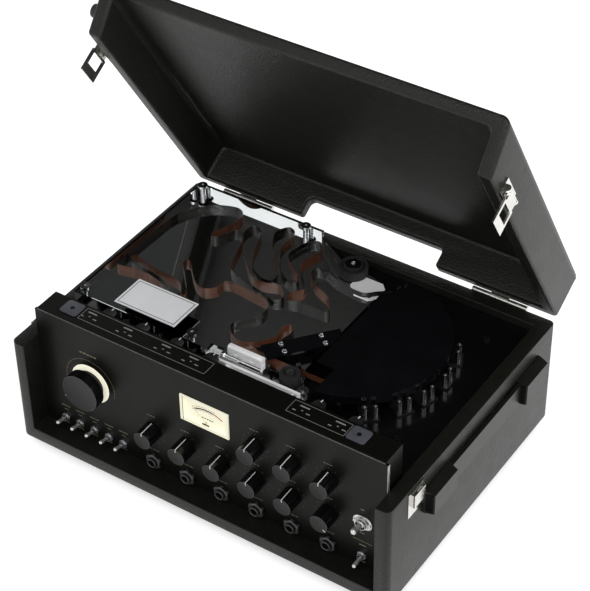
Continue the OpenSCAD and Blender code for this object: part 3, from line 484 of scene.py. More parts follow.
def line_on_panel(points, width=0.5):
    """A thin printed line through points given in case millimetres."""
    deselect()
    count = len(points)
    bpy.ops.mesh.primitive_grid_add(x_subdivisions=count - 1, y_subdivisions=1, size=1)
    line = bpy.context.object
    for i, vertex in enumerate(line.data.vertices):
        k, side = i % count, i // count * 2 - 1
        here = Vector(points[k])
        run = (Vector(points[min(k + 1, count - 1)]) - Vector(points[max(k - 1, 0)])).normalized()
        spot = here + Vector((-run.y, run.x)) * side * width / 2
        vertex.co = at(spot.x, 0, spot.y)
        vertex.co.y = PANEL_Y - INK_T
    return line


def ring_points(x, z, radius, start, end, count):
    return [(x + radius * math.sin(math.radians(start + (end - start) * k / count)),
             z + radius * math.cos(math.radians(start + (end - start) * k / count)))
            for k in range(count + 1)]


def row_of_bars(x, z, count, pitch, length, height):
    """Plain bars side by side where a short label would stand."""
    return [bar_on_panel(x + pitch * (k - (count - 1) / 2), z, length, height)
            for k in range(count)]


def in_case(spot):
    """A place of the frame in the case's millimetres across and up."""
    return spot.x / MM, (spot.z - case_lo.z) / MM


def bars_about(x, z, bars):
    """Bars about a switch, each given as across and up from its middle, length, height."""
    return [bar_on_panel(x + across, z + up, length, height)
            for across, up, length, height in bars]


# A row is the count of its bars, their pitch, length and height.
KNOB_ROW, KNOB_ROW_UP, KNOB_ROW_LEFT = (3, 3.4, 2.6, 0.7), 18.5, 1
JACK_ROW, JACK_ROW_UP = (3, 4.2, 3.4, 0.6), 13.5
MODE_ROW, MODE_ROW_UP = (5, 4.1, 3.2, 1.5), 36
TOGGLE_BARS = [(0, 14, 10.5, 0.8), (0, 9.5, 4.6, 0.7), (0, -8, 5, 0.7)]
POWER_BARS = [(-0.5, 15.5, 4, 1), (-0.5, -14, 5, 1)]
SPEED_BARS = [(0, 17, 20, 0.6), (0, 12, 7, 1.2), (0, -9, 6, 0.9)]
TICK = 0.55
TICK_R = 14.2
TICK_SWEEP = 150
marks = []
for lo, hi in knob_boxes.values():
    x, z = in_case((lo + hi) / 2)
    for tx, tz in ring_points(x, z, TICK_R, -TICK_SWEEP, TICK_SWEEP, 10):
        marks.append(bar_on_panel(tx, tz, TICK, TICK))
    marks += row_of_bars(x - KNOB_ROW_LEFT, z + KNOB_ROW_UP, *KNOB_ROW)
COLUMNS = [in_case((knob_boxes[i][0] + knob_boxes[i][1]) / 2)[0] for i in range(1, 7)]
JACK_Z = 24.3
for x in COLUMNS:
    marks += row_of_bars(x, JACK_Z + JACK_ROW_UP, *JACK_ROW)
toggle_boxes = [[Vector(c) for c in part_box(f"toggle_{i}")] for i in range(1, 6)]
TOGGLES = [in_case((lo + hi) / 2)[0] for lo, hi in toggle_boxes]
TOGGLE_Z = JACK_Z + 3
for x in TOGGLES:
    marks += bars_about(x, TOGGLE_Z, TOGGLE_BARS)
mode_centre = sum((Vector(c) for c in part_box("mode_knob")), Vector()) / 2
MODE_X, MODE_Z = in_case(mode_centre)
MODE_ARC_R = 28.7
MODE_ARC_START, MODE_ARC_END = -95, 100
marks.append(line_on_panel(
    ring_points(MODE_X, MODE_Z, MODE_ARC_R, MODE_ARC_START, MODE_ARC_END, 40), 0.35))
for tx, tz in ring_points(MODE_X, MODE_Z, MODE_ARC_R, MODE_ARC_START, MODE_ARC_END, 10):
    marks.append(bar_on_panel(tx, tz, 0.9, 0.9))
marks += row_of_bars(MODE_X, MODE_Z + MODE_ROW_UP, *MODE_ROW)
POWER_X, POWER_Z = 170, 70.5
SPEED_Z = 29
marks += bars_about(POWER_X, POWER_Z, POWER_BARS)
marks += bars_about(POWER_X, SPEED_Z, SPEED_BARS)
settle(join(marks), "panel_printing", "case", cream_ink)

BOX_FRONT, BOX_BACK = 31, 47.5
BOX_LINE = 0.45
LEFT_BOX, RIGHT_BOX = (-150.5, -5.5), (83, 143.5)
HEAD_LABELS = (-142, -100.6, -56.7, -25.3, 95.7, 133)
# Each bar is across from its label's middle, back from the front, length and depth.
LABEL_BARS = [(0, 43.5, 10, 1.6), (-7, 36, 3.5, 1.2), (0, 38.5, 2, 1), (7, 37, 4, 1.2)]


def frame_on_head(x0, x1):
    """A printed outline round a group of knobs."""
    lengthwise = [bar_on_head((x0 + x1) / 2, y, x1 - x0, BOX_LINE) for y in (BOX_FRONT, BOX_BACK)]
    middle, depth = (BOX_FRONT + BOX_BACK) / 2, BOX_BACK - BOX_FRONT
    return lengthwise + [bar_on_head(x, middle, BOX_LINE, depth) for x in (x0, x1)]


marks = frame_on_head(*LEFT_BOX) + frame_on_head(*RIGHT_BOX)
for x in HEAD_LABELS:
    marks += [bar_on_head(x + across, y, length, depth) for across, y, length, depth in LABEL_BARS]
settle(join(marks), "head_printing", "case", white_ink)

# The mode knob's cream ring, a thin enamelled disc under the knob, given a faint glow as
# painted light.
enamel = new_finish("cream_enamel", (0.86, 0.82, 0.64), 0.4, Emission_Color=(1.0, 0.97, 0.80, 1.0),
                    Emission_Strength=0.5)
vary_colour(enamel, 90, 0.04)
vary_rough(enamel, 60, 0.08)
RING_R = 22 * MM
RING_T = 0.5 * MM
ring = drum((mode_centre.x, PANEL_Y - RING_T / 2, mode_centre.z), RING_R, RING_T, "Y", 96)
soften(ring, 0.15 * MM, 2)
settle(ring, "mode_ring", "case", enamel)

# ---- knobs ------------------------------------------------------------------------
# Turned black knobs with polished sides, a duller flat face and a white pointer line
# that runs along the side and over the face's edge.
knob_side = new_finish("knob_polished", (0.003, 0.003, 0.003), 0.2, Specular_IOR_Level=0.35)
vary_rough(knob_side, 90, 0.05)
vary_colour(knob_side, 90, 0.25)
knob_face = new_finish("knob_face", (0.013, 0.013, 0.0125), 0.5, Specular_IOR_Level=0.2)
vary_colour(knob_face, 200, 0.12)
grain(knob_face, 3000, 0.2)
pointer_white = new_finish("pointer_white", (0.72, 0.72, 0.70), 0.45)
vary_colour(pointer_white, 900, 0.06)
KNOB_SHAFT_R = 3.2 * MM
FACE_RIM, FACE_DISH, FACE_R = 0.5 * MM, 0.25 * MM, 0.35 * MM
POINTER_OUT, POINTER_IN = 0.1 * MM, 0.3 * MM
POINTER_END, POINTER_FACE = 0.12 * MM, 0.6 * MM
OUTSIDE, OVERCUT = 1.2, 1.001


def turned_knob(radius, length, pointer=0.9 * MM, taper=0.96, over_face=3.2 * MM, undercut=None):
    """A knob about the origin, its back at Y 0 and its face towards -Y, pointer upwards."""
    knob = drum((0, -length / 2, 0), radius, length, "Y", 72)
    for finish in (knob_side, knob_face, pointer_white):
        knob.data.materials.append(finish)
    pick(knob, "FACE", lambda m, n: n.y < -0.9)
    bpy.ops.transform.resize(value=(taper, 1, taper))
    bpy.ops.mesh.inset(thickness=FACE_RIM)
    bpy.ops.transform.translate(value=(0, FACE_DISH, 0))
    knob.active_material_index = 1
    bpy.ops.object.material_slot_assign()
    bpy.ops.object.mode_set(mode="OBJECT")
    round_edges(knob, FACE_R, lambda m, run: m.y < -length + TOUCHING, 3)
    carve(knob, drum((0, 0, 0), KNOB_SHAFT_R, length, "Y", 32))
    if undercut:
        hub_r, hub_l = undercut
        gap = drum((0, -hub_l / 2, 0), radius * OUTSIDE, hub_l * OVERCUT, "Y", 72)
        carve(gap, drum((0, 0, 0), hub_r, hub_l * 3, "Y", 48))
        carve(knob, gap)
    tip = radius * taper
    side = block((-pointer / 2, -length - POINTER_END, tip - over_face),
                 (pointer / 2, -0.4 * MM, radius + POINTER_OUT))
    for vertex in side.data.vertices:
        if vertex.co.z > tip and vertex.co.y < -length / 2:
            vertex.co.z = tip + POINTER_OUT
    core_r, core_l = tip - POINTER_IN, length - 2 * POINTER_FACE
    carve(side, drum((0, -length / 2, 0), core_r, core_l, "Y", 72))
    side.data.materials.append(pointer_white)
    return join([knob, side])


def fit_knob(model, name, turn_degrees=0, upright_axis=False):
    """Sets a copy of the model where the CAD knob is, turned about its own axis."""
    lo, hi = (Vector(c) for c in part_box(name))
    knob = copy_piece(model, (0, 0, 0))
    middle = (lo + hi) / 2
    turn = Matrix.Rotation(math.radians(turn_degrees), 4, "Y")
    if upright_axis:
        face_up = Matrix.Rotation(-math.pi / 2, 4, "X")
        knob.matrix_world = Matrix.Translation((middle.x, middle.y, lo.z)) @ face_up @ turn
    else:
        knob.matrix_world = Matrix.Translation((middle.x, hi.y, middle.z)) @ turn
    settle(knob, name + "_turned", name, knob_side, knob_face, pointer_white)
    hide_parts(name)


def size_of(name):
    lo, hi = (Vector(c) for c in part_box(name))
    return hi - lo


TURNED_UP = {6: 130}
MODE_TURN = 240
MODE_HUB = (15.5 * MM, 6 * MM)
small_size = size_of("knob_1")
model = turned_knob(small_size.x / 2, small_size.y)
for i in range(1, 10):
    fit_knob(model, f"knob_{i}", TURNED_UP.get(i, 0))
bpy.data.objects.remove(model)
mode_size = size_of("mode_knob")
model = turned_knob(mode_size.x / 2, mode_size.y, pointer=1.1 * MM, taper=0.985,
                    over_face=0.3 * MM, undercut=MODE_HUB)
fit_knob(model, "mode_knob", MODE_TURN)
bpy.data.objects.remove(model)
trim_size = size_of("trim_1")
model = turned_knob(trim_size.x / 2, trim_size.z, taper=0.95)
for i in range(1, 7):
    fit_knob(model, f"trim_{i}", upright_axis=True)
bpy.data.objects.remove(model)

# ---- switches ---------------------------------------------------------------------
# Nickel plated bat levers in threaded bushes, each under a chromed hexagon nut. The
# power switch stands on an oval nickel plate held by two screws.
chrome = new_finish("chrome", (0.78, 0.78, 0.79), 0.12, 1.0)
vary_rough(chrome, 220, 0.06)
vary_colour(chrome, 60, 0.05)
satin_metal = new_finish("satin_metal", (0.45, 0.45, 0.46), 0.32, 1.0)
vary_rough(satin_metal, 300, 0.08)
grain(satin_metal, 1800, 0.15)
dress(satin_metal, "control_bodies")
lever_nickel = new_finish("lever_nickel", (0.62, 0.62, 0.60), 0.36, 0.75)
vary_rough(lever_nickel, 300, 0.06)
dress(lever_nickel, *[f"toggle_{i}" for i in range(1, 6)], "power_lever", "speed_lever")


def hexagon_nut(centre, across, height, bore):
    """A nut on the panel, so many metres across its flats, with its hole facing the front."""
    nut = drum(centre, across / 2 / math.cos(math.pi / 6), height, "Y", 6)
    soften(nut, 0.3 * MM, 2)
    carve(nut, drum(centre, bore, height * 3, "Y", 32))
    return nut


NUT_OUT = 1.0 * MM
NUT_ACROSS, NUT_T, NUT_BORE_R = 8.6 * MM, 1.8 * MM, 3.05 * MM
model = hexagon_nut((0, 0, 0), NUT_ACROSS, NUT_T, NUT_BORE_R)
nuts = [copy_piece(model, (x * MM, PANEL_Y - NUT_OUT, at(0, 0, z).z))
        for x, z in [*[(x, TOGGLE_Z) for x in TOGGLES], (POWER_X, SPEED_Z)]]
bpy.data.objects.remove(model)
settle(join(nuts), "switch_nuts", "case", chrome)

PLATE_T = 1.0 * MM
OVAL_W, OVAL_H = 20 * MM, 15.6 * MM
OVAL_R = 7.4 * MM
BUSH_R = 5.6 * MM
COLLAR_R, COLLAR_H, COLLAR_OUT = 6.6 * MM, 2.0 * MM, 2.2 * MM
OVAL_SCREW_R, OVAL_SCREW_H = 1.9 * MM, 1.2 * MM
OVAL_SCREW_OUT = 7.6 * MM
power_x, power_z = POWER_X * MM, at(0, 0, POWER_Z).z
plate = block((power_x - OVAL_W / 2, PANEL_Y - PLATE_T, power_z - OVAL_H / 2),
              (power_x + OVAL_W / 2, PANEL_Y, power_z + OVAL_H / 2))
round_edges(plate, OVAL_R, lambda m, run: abs(run.y) > 0.9, 8)
soften(plate, PLATE_T / 4, 2)
carve(plate, drum((power_x, PANEL_Y, power_z), BUSH_R, THROUGH, "Y"))
screws = [screw_head((power_x + dx, PANEL_Y - PLATE_T - OVAL_SCREW_H / 2, power_z),
                     OVAL_SCREW_R, OVAL_SCREW_H, "Y", 1)
          for dx in (OVAL_SCREW_OUT, -OVAL_SCREW_OUT)]
collar = drum((power_x, PANEL_Y - COLLAR_OUT, power_z), COLLAR_R, COLLAR_H, "Y", 40)
carve(collar, drum((power_x, PANEL_Y, power_z), BUSH_R, THROUGH, "Y"))
soften(collar, 0.3 * MM, 2)
settle(join([plate, *screws, collar]), "power_plate", "case", lever_nickel)

# ---- input jacks ------------------------------------------------------------------
# Black moulded jacks, each in a grey hexagon nut with a narrow grey ring round its
# mouth.
plastic = new_finish("black_plastic", (0.006, 0.006, 0.006), 0.32)
vary_colour(plastic, 80, 0.2)
vary_rough(plastic, 60, 0.06)
grain(plastic, 2200, 0.12)
dress(plastic, "input_jacks")
jack_grey = new_finish("jack_ring", (0.09, 0.09, 0.09), 0.4, 0.5)
vary_rough(jack_grey, 300, 0.1)
jack_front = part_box("input_jacks")[0][1]
jack_up = at(0, 0, JACK_Z).z
MOUTH_R, MOUTH_WIRE_R = 4.5 * MM, 0.55 * MM
JACK_NUT_ACROSS, JACK_NUT_T, JACK_NUT_BORE_R = 15.4 * MM, 3.4 * MM, 5.55 * MM
JACK_NUT_OUT = 2 * MM
rings = []
for x in COLUMNS:
    deselect()
    bpy.ops.mesh.primitive_torus_add(major_segments=40, minor_segments=8, major_radius=MOUTH_R,
                                     minor_radius=MOUTH_WIRE_R, rotation=(math.pi / 2, 0, 0),
                                     location=(x * MM, jack_front, jack_up))
    ring = bpy.context.object
    only(ring)
    bpy.ops.object.transform_apply(location=True, rotation=True, scale=True)
    pick(ring, "FACE", lambda m, n: n.y < -0.8)
    bpy.ops.transform.translate(value=(0, -0.1 * MM, 0))
    bpy.ops.object.mode_set(mode="OBJECT")
    nut = hexagon_nut((x * MM, PANEL_Y - JACK_NUT_OUT, jack_up),
                      JACK_NUT_ACROSS, JACK_NUT_T, JACK_NUT_BORE_R)
    rings += [ring, nut]
settle(join(rings), "jack_rings", "case", jack_grey)

# ---- level meter ------------------------------------------------------------------
# A cream dial behind its rim with a printed black arc that ends in red, and a small black
# pivot cover below. Dial and needle glow faintly in cream as painted light, and a thin
# black bar by the rim's left edge is a painted shadow.
# Painted light: the dial and the needle glow faintly in this cream.
CREAM_GLOW = (1.0, 0.97, 0.78, 1.0)
dial_cream = new_finish("dial_cream", (0.80, 0.77, 0.60), 0.5, Emission_Color=CREAM_GLOW,
                        Emission_Strength=0.38)
vary_colour(dial_cream, 60, 0.03)
grain(dial_cream, 1500, 0.1, 0.03 * MM)
dress(dial_cream, "meter")
ink = new_finish("black_ink", (0.012, 0.011, 0.010), 0.6)
vary_colour(ink, 500, 0.2)
red_ink = new_finish("red_ink", (0.50, 0.03, 0.02), 0.6)
vary_colour(red_ink, 500, 0.1)
# The needle glows with the same painted light.
needle_grey = new_finish("needle_grey", (0.62, 0.60, 0.46), 0.5, Emission_Color=CREAM_GLOW,
                         Emission_Strength=0.3)
vary_colour(needle_grey, 500, 0.1)
dress(needle_grey, "meter_needle")
DIAL_Y = PANEL_Y + 2.5 * MM
PIVOT_Z = in_case(Vector(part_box("meter")[0]))[1] + 6


def on_dial(piece):
    """Moves a printed line from the panel's face back to the dial's."""
    piece.location.y += DIAL_Y - PANEL_Y + INK_T / 2
    only(piece)
    bpy.ops.object.transform_apply(location=True, rotation=True, scale=True)
    return piece


ARC = (1.1, PIVOT_Z - 18.35)
SCALE_R, THIN_R, FIGURES_R = 32.2, 30.4, 34.6
SCALE_START, RED_START, SCALE_END = -31, 11, 31
METER_ROW, METER_ROW_UP = (5, 2.7, 1.9, 1.2), 3.4
# A painted shadow: a thin black bar just inside the rim's left edge, where the rim shades the
# dial.
RIM_SHADOW_X, RIM_SHADOW_UP, RIM_SHADOW_W, RIM_SHADOW_H = -23.8, 9.2, 0.6, 29.5
RIM_SHADOW_OUT = 1.5 * MM
COVER_LEFT, COVER_RIGHT = -2.6, 5
COVER_FRONT, COVER_BACK = 20.7, 21.2
COVER_DOWN, COVER_UP = 1.2, 0.3
lines = [on_dial(line_on_panel(ring_points(*ARC, SCALE_R, SCALE_START, RED_START, 24), 1.5)),
         on_dial(line_on_panel(ring_points(*ARC, THIN_R, SCALE_START + 2, RED_START, 24), 0.35))]
for x, z in ring_points(*ARC, FIGURES_R, SCALE_START + 2, RED_START + 1, 9):
    lines.append(on_dial(bar_on_panel(x, z, 1.1, 0.9)))
lines += [on_dial(bar) for bar in row_of_bars(0.9, PIVOT_Z + METER_ROW_UP, *METER_ROW)]
# The painted rim shadow, set a little in front of the dial.
painted_rim_shadow = bar_on_panel(RIM_SHADOW_X, PIVOT_Z + RIM_SHADOW_UP, RIM_SHADOW_W, RIM_SHADOW_H)
painted_rim_shadow.location.y -= RIM_SHADOW_OUT
only(painted_rim_shadow)
bpy.ops.object.transform_apply(location=True, rotation=True, scale=True)
pivot_cover = block(at(COVER_LEFT, COVER_FRONT, PIVOT_Z - COVER_DOWN),
                    at(COVER_RIGHT, COVER_BACK, PIVOT_Z + COVER_UP))
settle(join([*lines, painted_rim_shadow, pivot_cover]), "meter_printing_and_rim_shadow", "case", ink)
red = on_dial(line_on_panel(ring_points(*ARC, SCALE_R, RED_START, SCALE_END, 12), 1.3))
settle(red, "meter_red_arc", "case", red_ink)

# ---- deck plate -------------------------------------------------------------------
# A sheet steel deck in gloss black paint, held by blackened screws, with the capstan
# and the ribbed posts of the tape bin standing on it.
deck_black = new_finish("deck_black", (0.0022, 0.0022, 0.0026), 0.16)
vary_rough(deck_black, 25, 0.06)
vary_colour(deck_black, 50, 0.2)
grain(deck_black, 260, 0.04)
dress(deck_black, "deck_plate")
dress(chrome, "capstan")
dress(black_steel, "deck_screws")
ribbed_chrome = new_finish("ribbed_chrome", (0.42, 0.42, 0.43), 0.14, 1.0)
vary_rough(ribbed_chrome, 200, 0.05)
threads = texture(ribbed_chrome, "ShaderNodeTexWave", 160, 0.0, wave_type="BANDS",
                  bands_direction="Z")
relief(ribbed_chrome, threads.outputs["Fac"], 0.5, 0.3 * MM)
dress(ribbed_chrome, "deck_posts")

# ---- tape bin ---------------------------------------------------------------------
# A tray of mirror polished steel under a clear cover on four posts. A white plate with
# a thin black border lies on the cover.
mirror = new_finish("mirror_steel", (0.92, 0.93, 0.93), 0.03, 1.0)
vary_rough(mirror, 12, 0.025)
vary_colour(mirror, 15, 0.03)
dress(mirror, "bin_tray")
clear = new_finish("clear_cover", (0.97, 0.98, 0.98), 0.0, Transmission_Weight=1.0, IOR=1.08)
vary_colour(clear, 10, 0.01)
dress(clear, "bin_cover")
notice_white = new_finish("notice_white", (0.80, 0.81, 0.83), 0.4)
vary_colour(notice_white, 80, 0.03)
dress(notice_white, "notice_plate")
notice_lo, notice_hi = (Vector(corner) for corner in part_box("notice_plate"))
BORDER = 2.2 * MM
LINE = 0.7 * MM
edges = []
inner_lo = notice_lo + Vector((BORDER, BORDER, 0))
inner_hi = notice_hi - Vector((BORDER, BORDER, 0))
for lo, hi in [((inner_lo.x, inner_lo.y), (inner_hi.x, inner_lo.y + LINE)),
               ((inner_lo.x, inner_hi.y - LINE), (inner_hi.x, inner_hi.y)),
               ((inner_lo.x, inner_lo.y), (inner_lo.x + LINE, inner_hi.y)),
               ((inner_hi.x - LINE, inner_lo.y), (inner_hi.x, inner_hi.y))]:
    edges.append(block((*lo, notice_hi.z), (*hi, notice_hi.z + INK_T)))
settle(join(edges), "notice_border", "case", ink)

# ---- tape -------------------------------------------------------------------------
# One endless loop of tape on edge, loosely folded in the bin: brown oxide on one side,
# black backing on the other.
ROUTE = [
    (10, 104), (-2, 107), (10, 116), (13, 132), (14, 146), (8, 152), (3, 144), (5, 131), (-2, 119),
    (-13, 109), (-25, 108), (-35, 114), (-40, 123), (-35, 133), (-27, 144), (-24, 155), (-27, 165),
    (-35, 170), (-50, 172), (-69, 174), (-82, 172), (-84, 160), (-92, 152), (-103, 154),
    (-114, 163), (-124, 174), (-131, 180), (-134, 174), (-121, 159), (-109, 145), (-103, 134),
    (-108, 134), (-113, 142), (-123, 149), (-139, 150), (-157, 152), (-170, 155), (-180, 158),
    (-182, 153), (-170, 148), (-154, 145), (-139, 143), (-125, 136), (-117, 127), (-122, 126),
    (-132, 135), (-148, 140), (-163, 141), (-177, 138), (-187, 137), (-189, 148), (-188, 195),
    (-186, 230), (-176, 251), (-163, 266), (-143, 275), (-132, 273), (-127, 263), (-129, 247),
    (-136, 231), (-136, 224), (-130, 225), (-125, 235), (-120, 245), (-111, 242), (-103, 229),
    (-97, 210), (-91, 194), (-82, 187), (-69, 183), (-54, 180), (-41, 177), (-30, 174),
    (-21, 178), (-24, 188), (-34, 196), (-46, 192), (-59, 190), (-74, 200), (-94, 222),
    (-110, 244), (-109, 259), (-98, 257), (-91, 243), (-85, 225), (-75, 208), (-62, 198),
    (-49, 195), (-44, 202), (-50, 215), (-65, 231), (-77, 246), (-84, 261), (-82, 271),
    (-76, 277), (-68, 273), (-66, 261), (-66, 247), (-57, 230), (-45, 215), (-32, 206),
    (-22, 208), (-27, 217), (-41, 227), (-53, 239), (-52, 255), (-46, 270), (-37, 273),
    (-30, 263), (-33, 248), (-34, 232), (-23, 219), (-11, 204), (-18, 194), (-17, 181),
    (-4, 184), (14, 185), (26, 186), (25, 193), (14, 206), (-5, 215), (-18, 226), (-18, 236),
    (-8, 238), (10, 232), (38, 229), (50, 238), (58, 244)]
HEAD_X, HEAD_Y, HEAD_R = 66.5, 175, 71
STRAIGHT_ON = (18, 36)
TAPE_T = 0.12 * MM
oxide = new_finish("tape_oxide", (0.100, 0.034, 0.016), 0.32, Specular_IOR_Level=0.3)
vary_colour(oxide, 40, 0.18)
vary_rough(oxide, 50, 0.08)
backing = new_finish("tape_backing", (0.010, 0.009, 0.008), 0.3, Specular_IOR_Level=0.3)
vary_colour(backing, 40, 0.15)
vary_rough(backing, 50, 0.08)
tape_lo, tape_hi = (Vector(corner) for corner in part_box("tape_loop"))
stations = [Vector((HEAD_X + HEAD_R * math.cos(math.radians(a)),
                    HEAD_Y + HEAD_R * math.sin(math.radians(a))))
            for a in range(90, -91, -9)]
stations += [Vector((HEAD_X - back, HEAD_Y - HEAD_R)) for back in STRAIGHT_ON]
stations += [Vector(p) for p in ROUTE]


def curve_between(a, b, c, d, t):
    """A smooth curve from b to c, coming from a and heading for d."""
    slope, bend, twist = c - a, 2 * a - 5 * b + 4 * c - d, 3 * b - a - 3 * c + d
    return 0.5 * (2 * b + slope * t + bend * t * t + twist * t ** 3)


STEPS = 6
path = []
for i in range(len(stations)):
    four = [stations[(i + k) % len(stations)] for k in (-1, 0, 1, 2)]
    path += [curve_between(*four, k / STEPS) for k in range(STEPS)]
deselect()
bpy.ops.mesh.primitive_circle_add(vertices=len(path), radius=1, fill_type="NOTHING")
tape = bpy.context.object
for vertex, p in zip(tape.data.vertices, path):
    vertex.co = (p.x * MM, FRONT + p.y * MM, tape_lo.z)
bpy.ops.object.mode_set(mode="EDIT")
bpy.ops.mesh.select_mode(type="VERT")
bpy.ops.mesh.select_all(action="SELECT")
bpy.ops.mesh.extrude_region_move(TRANSFORM_OT_translate={"value": (0, 0, tape_hi.z - tape_lo.z)})
bpy.ops.object.mode_set(mode="OBJECT")
tape.data.materials.append(oxide)
tape.data.materials.append(backing)
modify(tape, "SOLIDIFY", thickness=TAPE_T, offset=0, material_offset=1)
settle(tape, "tape", "case", oxide, backing, slot="tape_oxide", angle=60)
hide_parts("tape_loop")

# ---- heads and their cover --------------------------------------------------------
# Five black heads under a gloss black cover, the pressure bar in the same gloss, and
# the pinch roller's satin arm.
gloss = new_finish("gloss_black", (0.0025, 0.0026, 0.0034), 0.09)
vary_rough(gloss, 18, 0.03)
vary_colour(gloss, 40, 0.3)
dress(gloss, "head_cover", "pressure_bar")
dress(plastic, "tape_heads")
dress(satin_metal, "pinch_arm")

# ---- rollers, solenoid and drive --------------------------------------------------
# Rubber rollers, the guide with its bracket, hub and screw, a chromed solenoid with its
# shell and plunger, and below the deck the motor, belt, pulley and circuit board. Shell,
# plunger and bracket are real plated parts painted near white: a painted reflection of
# the white room.
dress(rubber, "guide_roller", "pinch_roller", "drive_belt")
# Near white finish: a painted reflection of the white room on the plated shell, plunger and
# bracket.
near_white_reflection = new_finish("near_white_reflection", (0.96, 0.96, 0.96), 0.35, 0.1)
vary_rough(near_white_reflection, 60, 0.04)
vary_colour(near_white_reflection, 60, 0.05)
dress(chrome, "solenoid")
dress(near_white_reflection, "plunger")
motor_grey = new_finish("motor_grey", (0.20, 0.20, 0.21), 0.4, 0.7)
vary_rough(motor_grey, 90, 0.08)
dress(motor_grey, "motor")
brass = new_finish("brass", (0.55, 0.42, 0.16), 0.3, 1.0)
vary_rough(brass, 120, 0.06)
dress(brass, "motor_pulley")
board_green = new_finish("board_green", (0.03, 0.11, 0.05), 0.45)
vary_colour(board_green, 250, 0.2)
dress(board_green, "main_board")
BAR_TOP = 136
BAR_SCREW_R, BAR_SCREW_H = 2.6 * MM, 1.2 * MM
BAR_SCREWS = [(17.5, 121.3), (26.3, 114.2), (42.5, 151.9), (51.6, 144.8)]
bar_screws = [screw_head(at(x, y, BAR_TOP), BAR_SCREW_R, BAR_SCREW_H) for x, y in BAR_SCREWS]
settle(join(bar_screws), "bar_screws", "case", chrome)
guide_lo, guide_hi = (Vector(corner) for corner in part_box("guide_roller"))
guide_middle = (guide_lo + guide_hi) / 2
HUB_R, HUB_H = 8.5 * MM, 0.8 * MM
hub = drum((guide_middle.x, guide_middle.y, guide_hi.z + HUB_H / 2), HUB_R, HUB_H)
soften(hub, 0.3 * MM, 3)
settle(hub, "guide_hub", "guide_roller", gloss)
BRACKET_LO, BRACKET_HI = at(19, 228, 126), at(51.5, 257, 126.6)
BRACKET_HOLE, BRACKET_HOLE_R = at(44.5, 233, 126), 1.7 * MM
bracket = block(BRACKET_LO, BRACKET_HI)
round_edges(bracket, 11 * MM, lambda m, run: upright(m, run) and
            m.x < BRACKET_LO.x + NEAR and m.y < BRACKET_LO.y + NEAR, 1)
round_edges(bracket, 6 * MM, lambda m, run: upright(m, run) and m.x > BRACKET_HI.x - NEAR, 1)
carve(bracket, drum(BRACKET_HOLE, BRACKET_HOLE_R, THROUGH))
settle(bracket, "guide_bracket", "case", near_white_reflection)
SHELL_LO, SHELL_HI = at(-18, 84.5, 132.8), at(20, 91.5, 143.5)
WINDOW_LEFTS, WINDOW_W = (-12, 7), 5
WINDOW_BASE, WINDOW_TOP, WINDOW_BACK = 136, 139.5, 85.3
shell = block(SHELL_LO, SHELL_HI)
round_edges(shell, 2.5 * MM, lambda m, run: abs(run.x) > 0.9 and m.z > SHELL_HI.z - NEAR, 5)
soften(shell, 0.4 * MM, 2)
for x in WINDOW_LEFTS:
    carve(shell, block(at(x, 80, WINDOW_BASE), at(x + WINDOW_W, WINDOW_BACK, WINDOW_TOP)))
settle(shell, "solenoid_shell", "case", near_white_reflection)
screw = screw_head((guide_middle.x, guide_middle.y, guide_hi.z + 1.3 * MM), 2.2 * MM, 1.0 * MM)
settle(screw, "guide_screw", "guide_roller", chrome)

# ---- rear panel -------------------------------------------------------------------
# A moulded black plate on the back with the mains inlet and two jacks, seen through
# an opening in the covering.
dress(plastic, "rear_panel")

# ---- handle -----------------------------------------------------------------------
# A flexible strap between two moulded caps on the right side, one screw in each. Near-black
# blocks in the caps' open ends are painted shade.
strap_black = new_finish("strap_black", (0.0074, 0.0076, 0.0056), 0.36, Specular_IOR_Level=0.3)
vary_colour(strap_black, 90, 0.15)
grain(strap_black, 1100, 0.15)
dress(strap_black, "handle_caps", "handle_strap")
caps_lo, caps_hi = (Vector(corner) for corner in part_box("handle_caps"))
# Painted shade: near-black blocks set into the caps' open ends stand in for the shade inside them.
painted_shade_black = new_finish("painted_shade_black", (0.002, 0.002, 0.002), 0.7, Specular_IOR_Level=0.1)
vary_colour(painted_shade_black, 90, 0.2)
CAP_L = 44.5 * MM
CAP_SCREW_Y = 25.5 * MM
CAP_SCREW_R, CAP_SCREW_H = 2.9 * MM, 1.0 * MM
MOUTH_MARGIN = 2.6 * MM
mouths = [block((caps_lo.x + 1.6 * MM, y + 0.1 * MM, caps_lo.z + MOUTH_MARGIN),
                (caps_hi.x - 1.4 * MM, y + 3 * MM, caps_hi.z - MOUTH_MARGIN))
          for y in (caps_lo.y, caps_hi.y - CAP_L)]
settle(join(mouths), "cap_mouth_painted_shade", "case", painted_shade_black)
screws = [screw_head((caps_hi.x - 0.7 * MM, y + CAP_SCREW_Y, (caps_lo.z + caps_hi.z) / 2),
                     CAP_SCREW_R, CAP_SCREW_H, "X")
          for y in (caps_lo.y, caps_hi.y - CAP_L)]
settle(join(screws), "cap_screws", "case", black_steel)

# ---- catches, hinges and latches --------------------------------------------------
# Nickel plated pressings: the catches and hinge leaves on case and lid, and the two
# swinging latch bails.
nickel = new_finish("nickel", (0.66, 0.65, 0.62), 0.2, 1.0)
vary_rough(nickel, 150, 0.08)
vary_colour(nickel, 80, 0.06)
dress(nickel, "case_fittings", "lid_fittings", "latch_left", "latch_right")

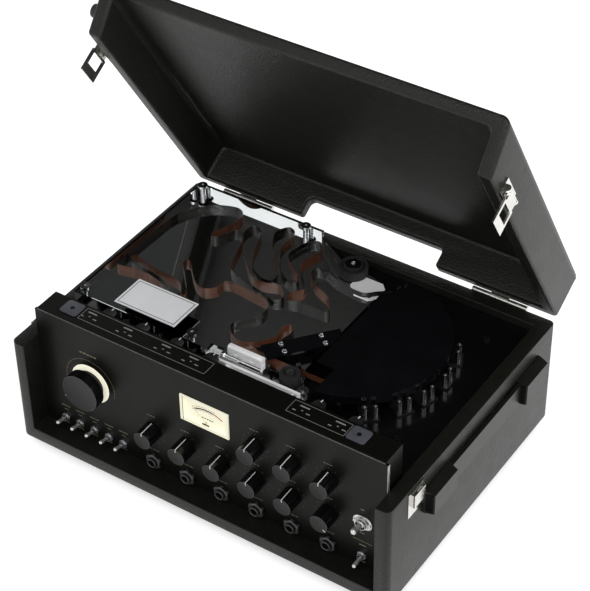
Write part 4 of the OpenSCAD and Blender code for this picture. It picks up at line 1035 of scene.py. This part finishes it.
# ---- lid --------------------------------------------------------------------------
# A shallow wooden lid in the same vinyl inside and out, its front slanted outwards,
# drawn closed and then turned open about the hinge pins.
PIN = Vector((0, case_hi.y + 3.6 * MM, case_hi.z - 1.5 * MM))
OPEN = math.radians(58.9)
RIM_Z = case_hi.z + 0.3 * MM
LID_H = 49.8 * MM
RIM_L = 302.5 * MM
SLANT = 21 * MM
LID_WALL = 14.5 * MM
LID_BOARD = 12 * MM
LID_R = 9 * MM
LID_SOFT = 3.2 * MM
HOLLOW_R = 6 * MM
NOTCH_HALF, NOTCH_H = 78 * MM, 20 * MM
opened = Matrix.Translation(PIN) @ Matrix.Rotation(-OPEN, 4, "X") @ Matrix.Translation(-PIN)
back_y = case_hi.y
lid = block((case_lo.x, back_y - RIM_L - SLANT, RIM_Z), (case_hi.x, back_y, RIM_Z + LID_H))
pick(lid, "EDGE", lambda m, run: m.y < back_y - RIM_L and m.z < RIM_Z + NEAR and abs(run.x) > 0.9)
bpy.ops.transform.translate(value=(0, SLANT, 0))
bpy.ops.object.mode_set(mode="OBJECT")
round_edges(lid, LID_R, lambda m, run: m.z > RIM_Z + LID_H - NEAR and
            (abs(run.y) > 0.9 or m.y > back_y - NEAR), 7)
round_edges(lid, OUTER_R, lambda m, run: m.y > back_y - NEAR and upright(m, run), 6)
inside = block((case_lo.x + LID_WALL, back_y - 0.5, RIM_Z - 0.1),
               (case_hi.x - LID_WALL, back_y - LID_WALL, RIM_Z + LID_H - LID_BOARD))
round_edges(inside, HOLLOW_R, lambda m, run: m.z > RIM_Z and abs(run.y) > 0.9, 5)
carve(lid, inside)
cutter = block((-NOTCH_HALF, back_y - THROUGH, RIM_Z - NOTCH_H),
               (NOTCH_HALF, back_y + THROUGH, RIM_Z + NOTCH_H))
round_edges(cutter, HOLLOW_R, lambda m, run: abs(run.y) > 0.9 and m.z > RIM_Z, 6)
carve(lid, cutter)
soften(lid, LID_SOFT, 5, 50)
lid.matrix_world = opened
settle(lid, "lid_covering", "lid", vinyl, slot="vinyl", angle=50)
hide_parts("lid_shell")

# ---- end --------------------------------------------------------------------------
# Neutral colour handling.
bpy.context.scene.view_settings.view_transform = "Standard"
